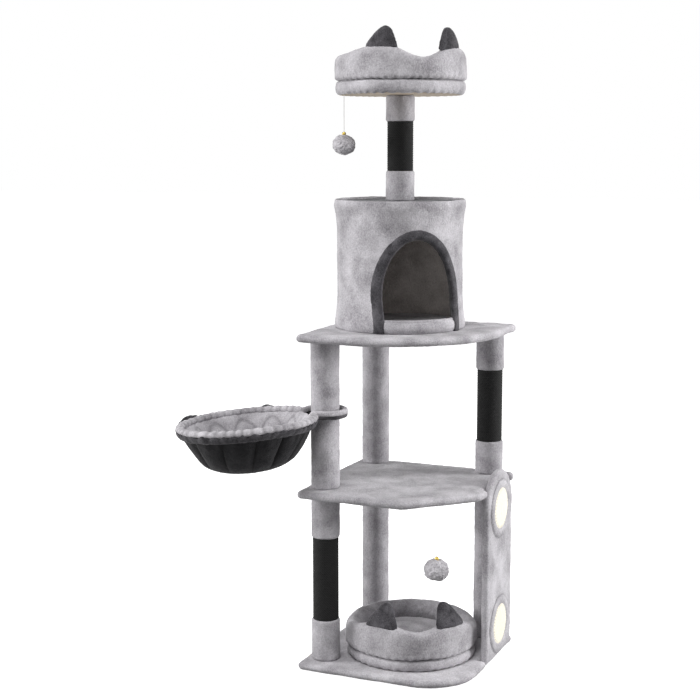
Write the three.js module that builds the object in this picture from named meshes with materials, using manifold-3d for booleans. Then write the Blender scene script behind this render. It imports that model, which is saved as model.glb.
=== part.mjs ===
// A free-standing cat tree: three shelves on posts, a condo, a perch, a loose bed, a hammock, a scratching
// panel and two toys. Lengths are in millimetres. X runs right along the front edge of the base, Y runs back,
// Z runs up, and the origin is the centre of the base's underside.
import * as THREE from "three";
import { mergeVertices } from "three/addons/utils/BufferGeometryUtils.js";
import Module from "manifold-3d";

const wasm = await Module();
wasm.setup();

// Clearance between pieces that touch, facets on round pieces, and how far a corner's facets may leave its arc.
const GAP = 0.3;
const HEX = 6;
const COARSE = 12;
const MEDIUM = 20;
const FINE = 32;
const ARC_ERROR = 0.8;

// Shelves: the heights of each covered board's two faces, and the corners as [x, y, radius].
const HALF_WIDTH = 225;
const HALF_DEPTH = 221;
const BASE = { bottom: 0, top: 20 };
const MIDDLE = { bottom: 457, top: 479 };
const UPPER = { bottom: 862, top: 884 };
const COVER = 2;
const COVER_EDGE = 6;
const BACK_CORNERS = [
  [HALF_WIDTH, HALF_DEPTH, 20],
  [-HALF_WIDTH, HALF_DEPTH, 20],
];
const FRONT_LEFT_CORNER = [-HALF_WIDTH, -HALF_DEPTH, 16];
const BASE_CORNERS = [FRONT_LEFT_CORNER, [HALF_WIDTH, -HALF_DEPTH, 138], ...BACK_CORNERS];
const MIDDLE_CORNERS = [FRONT_LEFT_CORNER, [71, -HALF_DEPTH, 30], [HALF_WIDTH, -59, 30], ...BACK_CORNERS];
const UPPER_CORNERS = [FRONT_LEFT_CORNER, [HALF_WIDTH, -HALF_DEPTH, 300], ...BACK_CORNERS];

// Posts: plan positions, and the radii of the tube, the rope and the plush.
const FRONT_LEFT = [-171, -151];
const BACK_LEFT = [-171, 185];
const BACK_RIGHT = [161.5, 185];
const TUBE_RADIUS = 30;
const TUBE_WALL = 4;
const PLUG_LENGTH = 36;
const SLEEVE_BORE = 30.6;
const ROPE_RADIUS = 33.8;
const PLUSH_RADIUS = 37.5;

// Bolts.
const SHANK_RADIUS = 4;
const BORE_RADIUS = 4.3;
const HEAD_RADIUS = 8;
const COUNTERBORE_RADIUS = 9;
const HEAD_HEIGHT = 4.5;
const GRIP_IN_PLUG = 32;

// Condo: a round wall that bulges at its foot and at its top lip, with the doorway towards the front right.
const CONDO = [-41, 37];
const CONDO_TOP = 1220;
const WALL_BORE = 154;
const ROOF = { radius: 165, bottom: 1203, top: 1213 };
const DOOR_AZIMUTH = -47.5;
const DOOR = { halfWidth: 99, sill: 919, spring: 965, top: 1127, lean: -13 };
const TRIM = { inwards: 4, outwards: 20, thickness: 6 };

// Perch and loose bed: round padded nests with a rim and two ears.
const PERCH_BOARD = { radius: 158, bottom: 1487, top: 1498 };
const PERCH = {
  name: "perch",
  centre: CONDO,
  bottom: 1484,
  seam: 1520,
  radius: 172,
  bore: 130,
  crest: 1592,
  facing: -45,
  dip: 18,
  shoulder: 20,
  crown: 10,
  ears: [
    { name: "left", offset: -42, halfWidth: 44, height: 43, lean: -4, base: 1602, tip: 0.3 },
    { name: "right", offset: 32, halfWidth: 45, height: 41, lean: -4, base: 1602, tip: -0.38 },
  ],
};
const BED = {
  name: "bed",
  centre: [15.5, -13],
  bottom: BASE.top + GAP,
  seam: 52,
  radius: 177,
  bore: 133,
  crest: 116,
  facing: -61,
  dip: 0,
  shoulder: 33,
  crown: 28,
  ears: [
    { name: "left", offset: -37, halfWidth: 46, height: 52, lean: 28, base: 140, tip: 0.12 },
    { name: "right", offset: 32, halfWidth: 46, height: 52, lean: 28, base: 140, tip: -0.15 },
  ],
};

// Scratching panel: an arched board upright in notches in the right edges of the base and the middle shelf.
const PANEL = { inner: 208.5, outer: 228, from: -11, to: 189, foot: 6, spring: 411 };
const PAD = { radius: 52.5, thickness: 4, heights: { upper: 408, lower: 91.5 } };

// Hammock: a wire hoop like a keyhole, its small end round the front left post, and a round basket in its large end.
const HOOP = {
  centre: [-312.2, -313.7],
  radius: 168,
  loopRadius: 52,
  neckRadius: 8,
  wire: 3,
  height: 668.3,
  slope: [0.0928, 0.0191],
  loopHeight: 679,
};
const BASKET = { radius: 162.5, thickness: 9, bottom: 552, drift: -8 };

// Toys: where each string leaves the underside above it, its length, and its ball.
const STRING_RADIUS = 0.6;
const STRING_CLEARANCE = 1.5;
const BELL_RADIUS = 5.5;
const TOYS = [
  { name: "perch_toy", at: [-174, -22], top: PERCH.bottom, string: 92, ball: { radius: 31, height: 55 } },
  { name: "shelf_toy", at: [127, -121.5], top: MIDDLE.bottom, string: 136, ball: { radius: 33, height: 59 } },
];

const FINISHES = {
  lightPlush: { color: 0xb3afb6, roughness: 0.95, metalness: 0 },
  darkPlush: { color: 0x3a393c, roughness: 0.95, metalness: 0 },
  blackRope: { color: 0x242424, roughness: 0.9, metalness: 0 },
  creamRope: { color: 0xf2ead2, roughness: 0.9, metalness: 0 },
  roofCloth: { color: 0x77777c, roughness: 0.95, metalness: 0 },
  board: { color: 0xb89b72, roughness: 0.8, metalness: 0 },
  card: { color: 0x9c7d57, roughness: 0.85, metalness: 0 },
  steel: { color: 0xa8a8a8, roughness: 0.35, metalness: 1 },
  brass: { color: 0xc9a53c, roughness: 0.3, metalness: 1 },
  string: { color: 0xe6e3dc, roughness: 0.9, metalness: 0 },
};

const radians = THREE.MathUtils.degToRad;
const object = new THREE.Group();

// A closed geometry as a solid, turned right side out.
function solid(geometry) {
  const bare = new THREE.BufferGeometry().setAttribute("position", geometry.getAttribute("position"));
  if (geometry.index) bare.setIndex(geometry.index);
  const merged = mergeVertices(bare, 1e-3);
  const triVerts = new Uint32Array(merged.index.array);
  const build = () => new wasm.Manifold(
    new wasm.Mesh({ numProp: 3, vertProperties: merged.attributes.position.array, triVerts }),
  );
  const made = build();
  if (made.volume() > 0) return made;
  for (let i = 0; i < triVerts.length; i += 3) {
    [triVerts[i + 1], triVerts[i + 2]] = [triVerts[i + 2], triVerts[i + 1]];
  }
  return build();
}

// Adds a solid to the object as a named mesh.
function add(name, shape, finish, at = [0, 0], height = 0) {
  const made = shape.getMesh();
  const geometry = new THREE.BufferGeometry();
  geometry.setAttribute("position", new THREE.BufferAttribute(made.vertProperties, made.numProp));
  geometry.setIndex(new THREE.BufferAttribute(made.triVerts, 1));
  geometry.computeVertexNormals();
  const mesh = new THREE.Mesh(geometry, new THREE.MeshStandardMaterial(FINISHES[finish]));
  mesh.name = name;
  mesh.position.set(at[0], at[1], height);
  object.add(mesh);
}

// A profile of [radius, height] points turned about the Z axis.
function turned(profile, segments) {
  const points = profile.map(([radius, height]) => new THREE.Vector2(radius, height));
  return solid(new THREE.LatheGeometry(points, segments).rotateX(Math.PI / 2));
}

function cylinder(radius, bottom, top, segments, at = [0, 0]) {
  const shape = turned([[0, bottom], [radius, bottom], [radius, top], [0, top]], segments);
  return shape.translate([at[0], at[1], 0]);
}

function ring(bore, radius, bottom, top, segments) {
  return turned([[bore, bottom], [radius, bottom], [radius, top], [bore, top], [bore, bottom]], segments);
}

function prism(points, bottom, top) {
  const shape = new THREE.Shape(points.map(([x, y]) => new THREE.Vector2(x, y)));
  const geometry = new THREE.ExtrudeGeometry(shape, { depth: top - bottom, bevelEnabled: false });
  return solid(geometry.translate(0, 0, bottom));
}

// A box between two opposite corners.
function box(low, high) {
  const size = high.map((value, axis) => value - low[axis]);
  const middle = high.map((value, axis) => (value + low[axis]) / 2);
  return solid(new THREE.BoxGeometry(...size).translate(...middle));
}

// A convex outline with rounded corners, drawn inset from its edges. Corners are [x, y, radius], anticlockwise.
function outline(corners, inset = 0) {
  const points = [];
  corners.forEach(([x, y, radius], i) => {
    const before = corners.at(i - 1);
    const after = corners[(i + 1) % corners.length];
    const inwardIn = leftNormal(before, [x, y]);
    const inwardOut = leftNormal([x, y], after);
    const scale = 1 / (1 + inwardIn.dot(inwardOut));
    const bisector = inwardIn.clone().add(inwardOut).multiplyScalar(scale);
    const arcRadius = Math.max(radius - inset, 1);
    const centre = bisector.clone().multiplyScalar(inset + arcRadius).add(new THREE.Vector2(x, y));
    const start = Math.atan2(-inwardIn.y, -inwardIn.x);
    const turn = inwardIn.angleTo(inwardOut);
    const steps = Math.ceil(turn / (2 * Math.acos(1 - ARC_ERROR / (arcRadius + ARC_ERROR))));
    for (let step = 0; step <= steps; step++) {
      const angle = start + (turn * step) / steps;
      points.push([centre.x + arcRadius * Math.cos(angle), centre.y + arcRadius * Math.sin(angle)]);
    }
  });
  return points;
}

function leftNormal(from, to) {
  return new THREE.Vector2(from[1] - to[1], to[0] - from[0]).normalize();
}

// The surface through rows of points. Rows close on themselves, and the last row joins the first unless
// both ends are closed by a single pole point.
function skin(rows, poles = null) {
  const width = rows[0].length;
  const positions = rows.flat(2);
  const index = [];
  const last = poles ? rows.length - 1 : rows.length;
  for (let row = 0; row < last; row++) {
    const next = (row + 1) % rows.length;
    for (let i = 0; i < width; i++) {
      const j = (i + 1) % width;
      const [a, b, c, d] = [row * width + i, row * width + j, next * width + j, next * width + i];
      index.push(a, b, c, a, c, d);
    }
  }
  if (poles) {
    const first = positions.length / 3;
    positions.push(...poles[0], ...poles[1]);
    for (let i = 0; i < width; i++) {
      const j = (i + 1) % width;
      index.push(first, j, i);
      index.push(first + 1, (rows.length - 1) * width + i, (rows.length - 1) * width + j);
    }
  }
  const geometry = new THREE.BufferGeometry();
  geometry.setAttribute("position", new THREE.Float32BufferAttribute(positions, 3));
  geometry.setIndex(index);
  return solid(geometry);
}

// A headed bolt along Z: its head spans headFrom to headTo, its shank runs from there to the tip.
function bolt(headFrom, headTo, tip) {
  const profile = [
    [0, headFrom], [HEAD_RADIUS, headFrom], [HEAD_RADIUS, headTo], [SHANK_RADIUS, headTo], [SHANK_RADIUS, tip], [0, tip],
  ];
  return turned(profile, HEX);
}

// Space in a shelf's right edge for the scratching panel.
function notch(margin) {
  return box(
    [PANEL.inner - margin, PANEL.from - margin, -1],
    [HALF_WIDTH * 2, PANEL.to + margin, UPPER.bottom],
  );
}

// A shelf: a board wrapped on both faces and all edges by its cover, with a bolt bore at each post.
// Counterbores take the bolt heads: below on the base, above on the upper shelf.
function addShelf(name, corners, heights, { notched, counterbore }) {
  const inner = COVER + GAP;
  const edge = COVER_EDGE + 2 * GAP;
  let cover = prism(outline(corners), heights.bottom, heights.top);
  let pocket = prism(outline(corners, COVER_EDGE), heights.bottom + COVER, heights.top - COVER);
  let board = prism(outline(corners, edge), heights.bottom + inner, heights.top - inner);
  if (notched) {
    cover = cover.subtract(notch(GAP));
    pocket = pocket.subtract(notch(GAP + COVER_EDGE));
    board = board.subtract(notch(GAP + edge));
  }
  cover = cover.subtract(pocket);
  for (const at of [FRONT_LEFT, BACK_LEFT, BACK_RIGHT]) {
    const bore = cylinder(BORE_RADIUS + GAP, heights.bottom - 1, heights.top + 1, COARSE, at);
    cover = cover.subtract(bore);
    board = board.subtract(bore);
    if (counterbore) {
      const recess = cylinder(COUNTERBORE_RADIUS, counterbore.from, counterbore.to, COARSE, at);
      cover = cover.subtract(recess);
      board = board.subtract(recess);
    }
  }
  add(name + "_board", board, "board");
  add(name + "_cover", cover, "lightPlush");
}

// A post: a tube with a bored plug glued in each end, inside plush sleeves and, where there is one, a rope band.
function addPost({ name, at, from, to, rope }) {
  const bottom = GAP;
  const top = to - from - GAP;
  const hollow = TUBE_RADIUS - TUBE_WALL;
  const tube = turned([
    [BORE_RADIUS, bottom], [TUBE_RADIUS, bottom], [TUBE_RADIUS, top], [BORE_RADIUS, top],
    [BORE_RADIUS, top - PLUG_LENGTH], [hollow, top - PLUG_LENGTH],
    [hollow, bottom + PLUG_LENGTH], [BORE_RADIUS, bottom + PLUG_LENGTH], [BORE_RADIUS, bottom],
  ], COARSE);
  add(name + "_tube", tube, "card", at, from);
  if (!rope) {
    add(name + "_sleeve", ring(SLEEVE_BORE, PLUSH_RADIUS, bottom, top, MEDIUM), "lightPlush", at, from);
    return;
  }
  const [ropeFrom, ropeTo] = rope.map((height) => height - from);
  add(name + "_foot_sleeve", ring(SLEEVE_BORE, PLUSH_RADIUS, bottom, ropeFrom, MEDIUM), "lightPlush", at, from);
  add(name + "_rope", ring(SLEEVE_BORE, ROPE_RADIUS, ropeFrom + GAP, ropeTo - GAP, MEDIUM), "blackRope", at, from);
  add(name + "_head_sleeve", ring(SLEEVE_BORE, PLUSH_RADIUS, ropeTo, top, MEDIUM), "lightPlush", at, from);
}

function addFasteners() {
  const places = { front_left: FRONT_LEFT, back_left: BACK_LEFT, back_right: BACK_RIGHT };
  for (const [place, at] of Object.entries(places)) {
    add("base_bolt_" + place, bolt(COVER + 1, COVER + 1 + HEAD_HEIGHT, BASE.top + GRIP_IN_PLUG), "steel", at);
    const stud = cylinder(SHANK_RADIUS, MIDDLE.bottom - GRIP_IN_PLUG, MIDDLE.top + GRIP_IN_PLUG, HEX);
    add("middle_stud_" + place, stud, "steel", at);
    const head = UPPER.top - COVER;
    add("upper_bolt_" + place, bolt(head, head - HEAD_HEIGHT, UPPER.bottom - GRIP_IN_PLUG), "steel", at);
  }
  const roofHead = ROOF.bottom - GAP;
  add("roof_bolt", bolt(roofHead - HEAD_HEIGHT, roofHead, ROOF.top + GRIP_IN_PLUG), "steel", CONDO);
  const perchHead = PERCH_BOARD.top + GAP;
  add("perch_bolt", bolt(perchHead + HEAD_HEIGHT, perchHead, PERCH.bottom - GRIP_IN_PLUG), "steel", CONDO);
}

// The condo wall's outer profile, from the foot to the lip, grown outwards.
function wallProfile(grow) {
  return [
    [169.5, UPPER.top + GAP], [171, 897], [167, 925], [164, 970], [164, 1140], [167, 1178], [171.5, 1203],
    [170.5, 1215],
  ].map(([radius, height]) => [radius + grow, height]);
}

// The doorway's outline across and up, grown sideways and upwards: jambs under half an ellipse, all leaning over.
function doorway(grow, foot) {
  const halfWidth = DOOR.halfWidth + grow;
  const rise = DOOR.top - DOOR.spring + grow;
  const sill = Math.max(foot, DOOR.sill);
  const points = [[-halfWidth, foot], [halfWidth, foot]];
  if (sill > foot) points.push([halfWidth, sill]);
  const steps = 14;
  for (let step = 0; step <= steps; step++) {
    const angle = (Math.PI * step) / steps;
    points.push([halfWidth * Math.cos(angle), DOOR.spring + rise * Math.sin(angle)]);
  }
  if (sill > foot) points.push([-halfWidth, sill]);
  const leaning = (height) => DOOR.lean * Math.max(0, (height - DOOR.sill) / (DOOR.top - DOOR.sill));
  return points.map(([across, height]) => [across + leaning(height), height]);
}

// A plug through the wall in the shape of the doorway, from the condo's axis out through the front.
function doorPlug(grow, foot) {
  const reach = 200;
  const stand = new THREE.Matrix4().makeRotationX(Math.PI / 2);
  const turn = new THREE.Matrix4().makeRotationZ(radians(DOOR_AZIMUTH + 90));
  return prism(doorway(grow, foot), 0, reach).transform(turn.multiply(stand).elements);
}

function addCondo() {
  const lip = [[167.8, CONDO_TOP], [ROOF.radius + GAP, CONDO_TOP - 3], [ROOF.radius + GAP, ROOF.bottom - GAP]];
  const bore = [[WALL_BORE, ROOF.bottom - GAP], [WALL_BORE, UPPER.top + GAP]];
  const profile = [...wallProfile(0), ...lip, ...bore];
  const wall = turned([...profile, profile[0]], FINE);
  add("condo_wall", wall.subtract(doorPlug(0, DOOR.sill)), "lightPlush", CONDO);

  const foot = UPPER.top + GAP;
  const band = [...wallProfile(TRIM.thickness), ...wallProfile(GAP).reverse()];
  const sleeve = turned([...band, band[0]], FINE);
  const frame = doorPlug(TRIM.outwards, foot).subtract(doorPlug(-TRIM.inwards, foot - 10));
  add("door_trim", sleeve.intersect(frame), "darkPlush", CONDO);

  const roof = cylinder(ROOF.radius, ROOF.bottom, ROOF.top, FINE);
  add("condo_roof", roof.subtract(cylinder(BORE_RADIUS, 0, CONDO_TOP, COARSE)), "roofCloth", CONDO);
}

// The rim's crest height at an azimuth: a shoulder under each ear, and a dip between them.
function crestHeight(nest, azimuth) {
  const bump = (centre, width) => {
    const off = THREE.MathUtils.euclideanModulo(azimuth - nest.facing - centre + 180, 360) - 180;
    return Math.exp(-((off / width) ** 2));
  };
  const shoulders = nest.ears.reduce((sum, ear) => sum + nest.shoulder * bump(ear.offset, 29), 0);
  return nest.crest - nest.dip * bump(0, 24) + shoulders;
}

// The padded rim, grown outwards all round: the same rounded section carried round the nest under its crest.
function rim(nest, grow) {
  const rows = [];
  for (let step = 0; step < FINE; step++) {
    const azimuth = (360 * step) / FINE;
    const crest = crestHeight(nest, azimuth);
    const { radius, bore, seam } = nest;
    const section = [
      [radius - 7, seam + GAP - grow], [radius + grow, seam + 16], [radius - 2 + grow, crest - 18],
      [radius - 12 + grow, crest - 4 + grow], [radius - 22, crest + grow], [bore + 8 - grow, crest - 8 + grow],
      [bore - grow, crest - 24], [bore + 4 - grow, seam + GAP - grow],
    ];
    const [cos, sin] = [Math.cos(radians(azimuth)), Math.sin(radians(azimuth))];
    rows.push(section.map(([r, z]) => [r * cos, r * sin, z]));
  }
  return skin(rows);
}

// An ear: a rounded triangle of padding that stands on the crest and leans towards the nest's centre.
// Its blunt tip is off to one side by a share of its half width.
function ear(nest, { offset, halfWidth, height, lean, base, tip }) {
  const thickness = 13;
  const seat = nest.radius - 20;
  const [from, to] = [-(tip + 0.2) * halfWidth, -(tip - 0.2) * halfWidth];
  const bulge = halfWidth * 0.12;
  const shape = new THREE.Shape();
  shape.moveTo(-halfWidth, 0);
  shape.quadraticCurveTo((from - halfWidth) / 2 - bulge, height * 0.68, from, height);
  shape.quadraticCurveTo((from + to) / 2, height + 3, to, height);
  shape.quadraticCurveTo((to + halfWidth) / 2 + bulge, height * 0.68, halfWidth, 0);
  shape.closePath();
  const flat = new THREE.ExtrudeGeometry(shape, { depth: thickness, bevelEnabled: false, curveSegments: 5 });
  flat.translate(0, 0, -thickness / 2).rotateX(Math.PI / 2 + radians(lean));
  flat.translate(0, seat, base).rotateZ(radians(nest.facing + offset - 90));
  return solid(flat).subtract(rim(nest, 0.5));
}

// The nest's base cushion: a puffed disc under the rim, crowned where the cat lies.
function baseCushion({ radius, bore, bottom, seam, crown }) {
  const low = bottom;
  return turned([
    [0, low], [radius - 12, low], [radius - 4, low + 8], [radius - 3.5, seam - 9], [radius - 9, seam],
    [bore - 1, seam], [bore - 3, seam + crown * 0.5], [bore - 14, seam + crown * 0.8], [0, seam + crown],
  ], FINE);
}

function addNest(nest, cushion) {
  add(nest.name + "_base", cushion, "lightPlush", nest.centre);
  add(nest.name + "_rim", rim(nest, 0), "lightPlush", nest.centre);
  for (const each of nest.ears) {
    add(nest.name + "_" + each.name + "_ear", ear(nest, each), "darkPlush", nest.centre);
  }
}

// The perch's cushion holds a board and the head of the bolt that clamps it to the top post.
function addPerch() {
  const { radius, bottom, top } = PERCH_BOARD;
  const pocket = cylinder(radius + GAP, bottom - GAP, top + GAP, MEDIUM);
  const headroom = cylinder(COUNTERBORE_RADIUS, top, top + HEAD_HEIGHT + 1, COARSE);
  const bore = cylinder(BORE_RADIUS + GAP, PERCH.bottom - 1, top, COARSE);
  addNest(PERCH, baseCushion(PERCH).subtract(pocket).subtract(headroom).subtract(bore));
  const board = cylinder(radius, bottom, top, MEDIUM);
  add("perch_board", board.subtract(cylinder(BORE_RADIUS, 0, CONDO_TOP * 2, COARSE)), "board", CONDO);
}

// The panel's outline along Y and Z: straight sides under a half-round top.
function addPanel() {
  const halfWidth = (PANEL.to - PANEL.from) / 2;
  const middle = (PANEL.to + PANEL.from) / 2;
  const points = [[PANEL.from, PANEL.foot], [PANEL.to, PANEL.foot]];
  const steps = 18;
  for (let step = 0; step <= steps; step++) {
    const angle = (Math.PI * step) / steps;
    points.push([middle + halfWidth * Math.cos(angle), PANEL.spring + halfWidth * Math.sin(angle)]);
  }
  const upright = new THREE.Matrix4().makeBasis(
    new THREE.Vector3(0, 1, 0), new THREE.Vector3(0, 0, 1), new THREE.Vector3(1, 0, 0),
  );
  add("scratch_panel", prism(points, PANEL.inner, PANEL.outer).transform(upright.elements), "lightPlush");
  const lay = new THREE.Matrix4().makeRotationY(Math.PI / 2);
  const from = PANEL.outer + GAP;
  for (const [place, height] of Object.entries(PAD.heights)) {
    const pad = cylinder(PAD.radius, from, from + PAD.thickness, MEDIUM).transform(lay.elements);
    add("scratch_pad_" + place, pad, "creamRope", [0, middle], height);
  }
}

// The hoop's height: level round the post, then sloping down away from it.
function hoopHeight(x, y) {
  const slope = HOOP.slope[0] * (x - HOOP.centre[0]) + HOOP.slope[1] * (y - HOOP.centre[1]);
  return Math.min(HOOP.height + slope, HOOP.loopHeight);
}

// Points along the hoop: an arc round the basket and an arc round the post, joined at a neck by two small arcs that
// bend the other way.
function hoopPath() {
  const [cx, cy] = HOOP.centre;
  const [px, py] = FRONT_LEFT;
  const towards = Math.atan2(py - cy, px - cx);
  const apart = Math.hypot(px - cx, py - cy);
  const big = HOOP.radius + HOOP.neckRadius;
  const small = HOOP.loopRadius + HOOP.neckRadius;
  const atBasket = Math.acos((big * big + apart * apart - small * small) / (2 * big * apart));
  const atPost = Math.acos((small * small + apart * apart - big * big) / (2 * small * apart));
  const neck = (side) => {
    const angle = towards + side * atBasket;
    return { x: cx + big * Math.cos(angle), y: cy + big * Math.sin(angle), radius: HOOP.neckRadius, inwards: true, steps: 5 };
  };
  const arcs = [
    { x: cx, y: cy, radius: HOOP.radius, from: atBasket, to: 2 * Math.PI - atBasket, steps: 26 },
    { ...neck(-1), from: Math.PI - atBasket, to: atPost },
    { x: px, y: py, radius: HOOP.loopRadius, from: atPost - Math.PI, to: Math.PI - atPost, steps: 14 },
    { ...neck(1), from: -atPost, to: atBasket - Math.PI },
  ];
  return arcs.flatMap(({ x, y, radius, from, to, steps, inwards }) =>
    Array.from({ length: steps }, (_, step) => {
      const angle = towards + from + ((to - from) * step) / steps;
      return [x + radius * Math.cos(angle), y + radius * Math.sin(angle), inwards ? angle + Math.PI : angle];
    }),
  );
}

function addHammock() {
  const sides = 6;
  const rows = hoopPath().map(([x, y, angle]) =>
    Array.from({ length: sides }, (_, side) => {
      const turn = (2 * Math.PI * side) / sides;
      const out = HOOP.wire * Math.cos(turn);
      return [x + out * Math.cos(angle), y + out * Math.sin(angle), hoopHeight(x, y) + HOOP.wire * Math.sin(turn)];
    }),
  );
  add("hammock_hoop", skin(rows), "steel");

  const [cx, cy] = HOOP.centre;
  const outwards = Math.atan2(cy - FRONT_LEFT[1], cx - FRONT_LEFT[0]);
  const depth = HOOP.height - BASKET.bottom;
  // The basket at a share of its depth below the rim: its radius shrinks and its centre drifts outwards.
  const level = (share, radius, lift) => {
    const x = cx + BASKET.drift * share * Math.cos(outwards);
    const y = cy + BASKET.drift * share * Math.sin(outwards);
    const count = FINE;
    return Array.from({ length: count }, (_, step) => {
      const angle = (2 * Math.PI * step) / count;
      const [px, py] = [x + radius * Math.cos(angle), y + radius * Math.sin(angle)];
      return [px, py, hoopHeight(px, py) - 3 - depth * share + 3 * share + lift];
    });
  };
  const profile = [[1, 48], [0.95, 76], [0.8, 108], [0.55, 130], [0.3, 146], [0.1, 156], [0, BASKET.radius]];
  const outer = profile.map(([share, radius]) => level(share, radius, 0));
  const inner = profile.toReversed().map(([share, radius]) => {
    return level(share, radius - BASKET.thickness, share > 0.9 ? BASKET.thickness : BASKET.thickness * share);
  });
  const centreOf = (row) => [0, 1, 2].map((axis) => row.reduce((sum, p) => sum + p[axis], 0) / row.length);
  add("hammock_basket", skin([...outer, ...inner], [centreOf(outer[0]), centreOf(inner.at(-1))]), "darkPlush");
}

// A toy hangs straight down: string, bell, ball. The bell sits in a dent in the ball's top. Its group's origin is where the string leaves the underside.
function addToy({ name, at, top, string, ball }) {
  const path = new THREE.LineCurve3(new THREE.Vector3(0, 0, -STRING_CLEARANCE), new THREE.Vector3(0, 0, -string));
  const section = new THREE.Shape().absarc(0, 0, STRING_RADIUS, 0, 2 * Math.PI);
  const cord = new THREE.ExtrudeGeometry(section, { extrudePath: path, steps: 8, curveSegments: 4 });
  add(name + "_string", solid(cord), "string", at, top);
  const bellCentre = -string - GAP - BELL_RADIUS;
  const bell = solid(new THREE.SphereGeometry(BELL_RADIUS, 8, 6).rotateX(Math.PI / 2));
  add(name + "_bell", bell, "brass", at, top + bellCentre);
  const half = ball.height / 2;
  const round = new THREE.SphereGeometry(ball.radius, 14, 10).rotateX(Math.PI / 2);
  round.scale(1, 1, half / ball.radius);
  const dent = new THREE.SphereGeometry(BELL_RADIUS + GAP, 8, 6).rotateX(Math.PI / 2).translate(0, 0, half);
  add(name + "_ball", solid(round).subtract(solid(dent)), "lightPlush", at, top + bellCentre - half);
}

const POSTS = [
  { name: "lower_front_left", at: FRONT_LEFT, from: BASE.top, to: MIDDLE.bottom, rope: [128, 348] },
  { name: "lower_back_left", at: BACK_LEFT, from: BASE.top, to: MIDDLE.bottom },
  { name: "lower_back_right", at: BACK_RIGHT, from: BASE.top, to: MIDDLE.bottom },
  { name: "upper_front_left", at: FRONT_LEFT, from: MIDDLE.top, to: UPPER.bottom },
  { name: "upper_back_left", at: BACK_LEFT, from: MIDDLE.top, to: UPPER.bottom },
  { name: "upper_back_right", at: BACK_RIGHT, from: MIDDLE.top, to: UPPER.bottom, rope: [568, 762] },
  { name: "top_post", at: CONDO, from: ROOF.top, to: PERCH.bottom, rope: [1291, 1418] },
];

addShelf("base", BASE_CORNERS, BASE, {
  notched: true,
  counterbore: { from: BASE.bottom - 1, to: COVER + 1.3 + HEAD_HEIGHT },
});
addShelf("middle", MIDDLE_CORNERS, MIDDLE, { notched: true });
addShelf("upper", UPPER_CORNERS, UPPER, {
  notched: false,
  counterbore: { from: UPPER.top - COVER - HEAD_HEIGHT - GAP, to: UPPER.top + 1 },
});
POSTS.forEach(addPost);
addFasteners();
addCondo();
addPerch();
addNest(BED, baseCushion(BED));
addPanel();
addHammock();
TOYS.forEach(addToy);

export default object;
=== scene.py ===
import itertools
import math

import bmesh
import bpy
import numpy as np
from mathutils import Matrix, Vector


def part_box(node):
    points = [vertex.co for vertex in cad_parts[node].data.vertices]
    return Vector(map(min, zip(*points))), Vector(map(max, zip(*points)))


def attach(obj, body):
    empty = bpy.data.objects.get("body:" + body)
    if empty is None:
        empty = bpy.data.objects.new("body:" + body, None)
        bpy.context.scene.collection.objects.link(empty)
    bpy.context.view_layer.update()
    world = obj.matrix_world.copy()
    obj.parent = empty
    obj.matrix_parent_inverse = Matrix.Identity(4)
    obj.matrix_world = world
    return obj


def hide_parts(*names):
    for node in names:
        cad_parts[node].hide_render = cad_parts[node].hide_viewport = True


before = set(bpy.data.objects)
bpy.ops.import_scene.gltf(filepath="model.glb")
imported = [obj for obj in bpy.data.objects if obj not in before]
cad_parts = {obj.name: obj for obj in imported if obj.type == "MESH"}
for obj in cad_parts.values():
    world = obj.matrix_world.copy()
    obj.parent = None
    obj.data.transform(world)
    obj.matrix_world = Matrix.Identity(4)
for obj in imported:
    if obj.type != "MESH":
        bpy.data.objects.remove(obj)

# Lengths are in millimetres, as in the CAD source, until make() puts them into a mesh, which is in metres.
# Pieces are made at their place in the frame, with their origins at the frame's.
MM = 0.001
VOXEL = 3.2
GAP = 0.3
scene = bpy.context.scene
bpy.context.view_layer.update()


def span(node):
    """A CAD node's lowest and highest corners, in millimetres."""
    low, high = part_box(node)
    return np.array(low) / MM, np.array(high) / MM


def centre_of(node):
    """The middle of a CAD node's box in plan, in millimetres."""
    low, high = span(node)
    return (low[:2] + high[:2]) / 2


# ---- Camera

camera = bpy.data.objects.new("camera", bpy.data.cameras.new("camera"))
scene.collection.objects.link(camera)
scene.camera = camera
camera.location = (1.3647, -3.4662, 1.3666)
camera.rotation_euler = (math.radians(90 - 8.227), math.radians(0.07), math.radians(23.84))
camera.data.sensor_width = 36
camera.data.lens = 74.2
camera.data.clip_end = 200


# ---- Materials

def new_material(name):
    """Starts a material: the material, its nodes, and the place on the piece as a vector."""
    material = bpy.data.materials.new(name)
    material.use_nodes = True
    tree = material.node_tree
    return material, tree, add_node(tree, "TexCoord").outputs["Object"]


def finished(material, colour, rough, normal, constants=None):
    """The material, with these joined to its shader and the constants set on it."""
    shader = material.node_tree.nodes["Principled BSDF"]
    for key, socket in (("Base Color", colour), ("Roughness", rough), ("Normal", normal)):
        material.node_tree.links.new(socket, shader.inputs[key])
    for key, value in (constants or {}).items():
        shader.inputs[key].default_value = value
    return material


def add_node(tree, kind, inputs=None, **settings):
    """A shader node with these settings. Inputs are values, or sockets to join to them, by name or index."""
    node = tree.nodes.new("ShaderNode" + kind)
    for key, value in settings.items():
        setattr(node, key, value)
    for key, value in (inputs or {}).items():
        if isinstance(value, bpy.types.NodeSocket):
            tree.links.new(value, node.inputs[key])
        else:
            node.inputs[key].default_value = value
    return node


def math_node(tree, operation, *values):
    return add_node(tree, "Math", dict(enumerate(values)), operation=operation).outputs[0]


def scaled(tree, value, factor, offset=0.0):
    return math_node(tree, "MULTIPLY_ADD", value, factor, offset)


def weighed(tree, first, share, second):
    """Two patterns added, the first by this share and the second by what is left."""
    return scaled(tree, first, share, scaled(tree, second, 1 - share))


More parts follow.
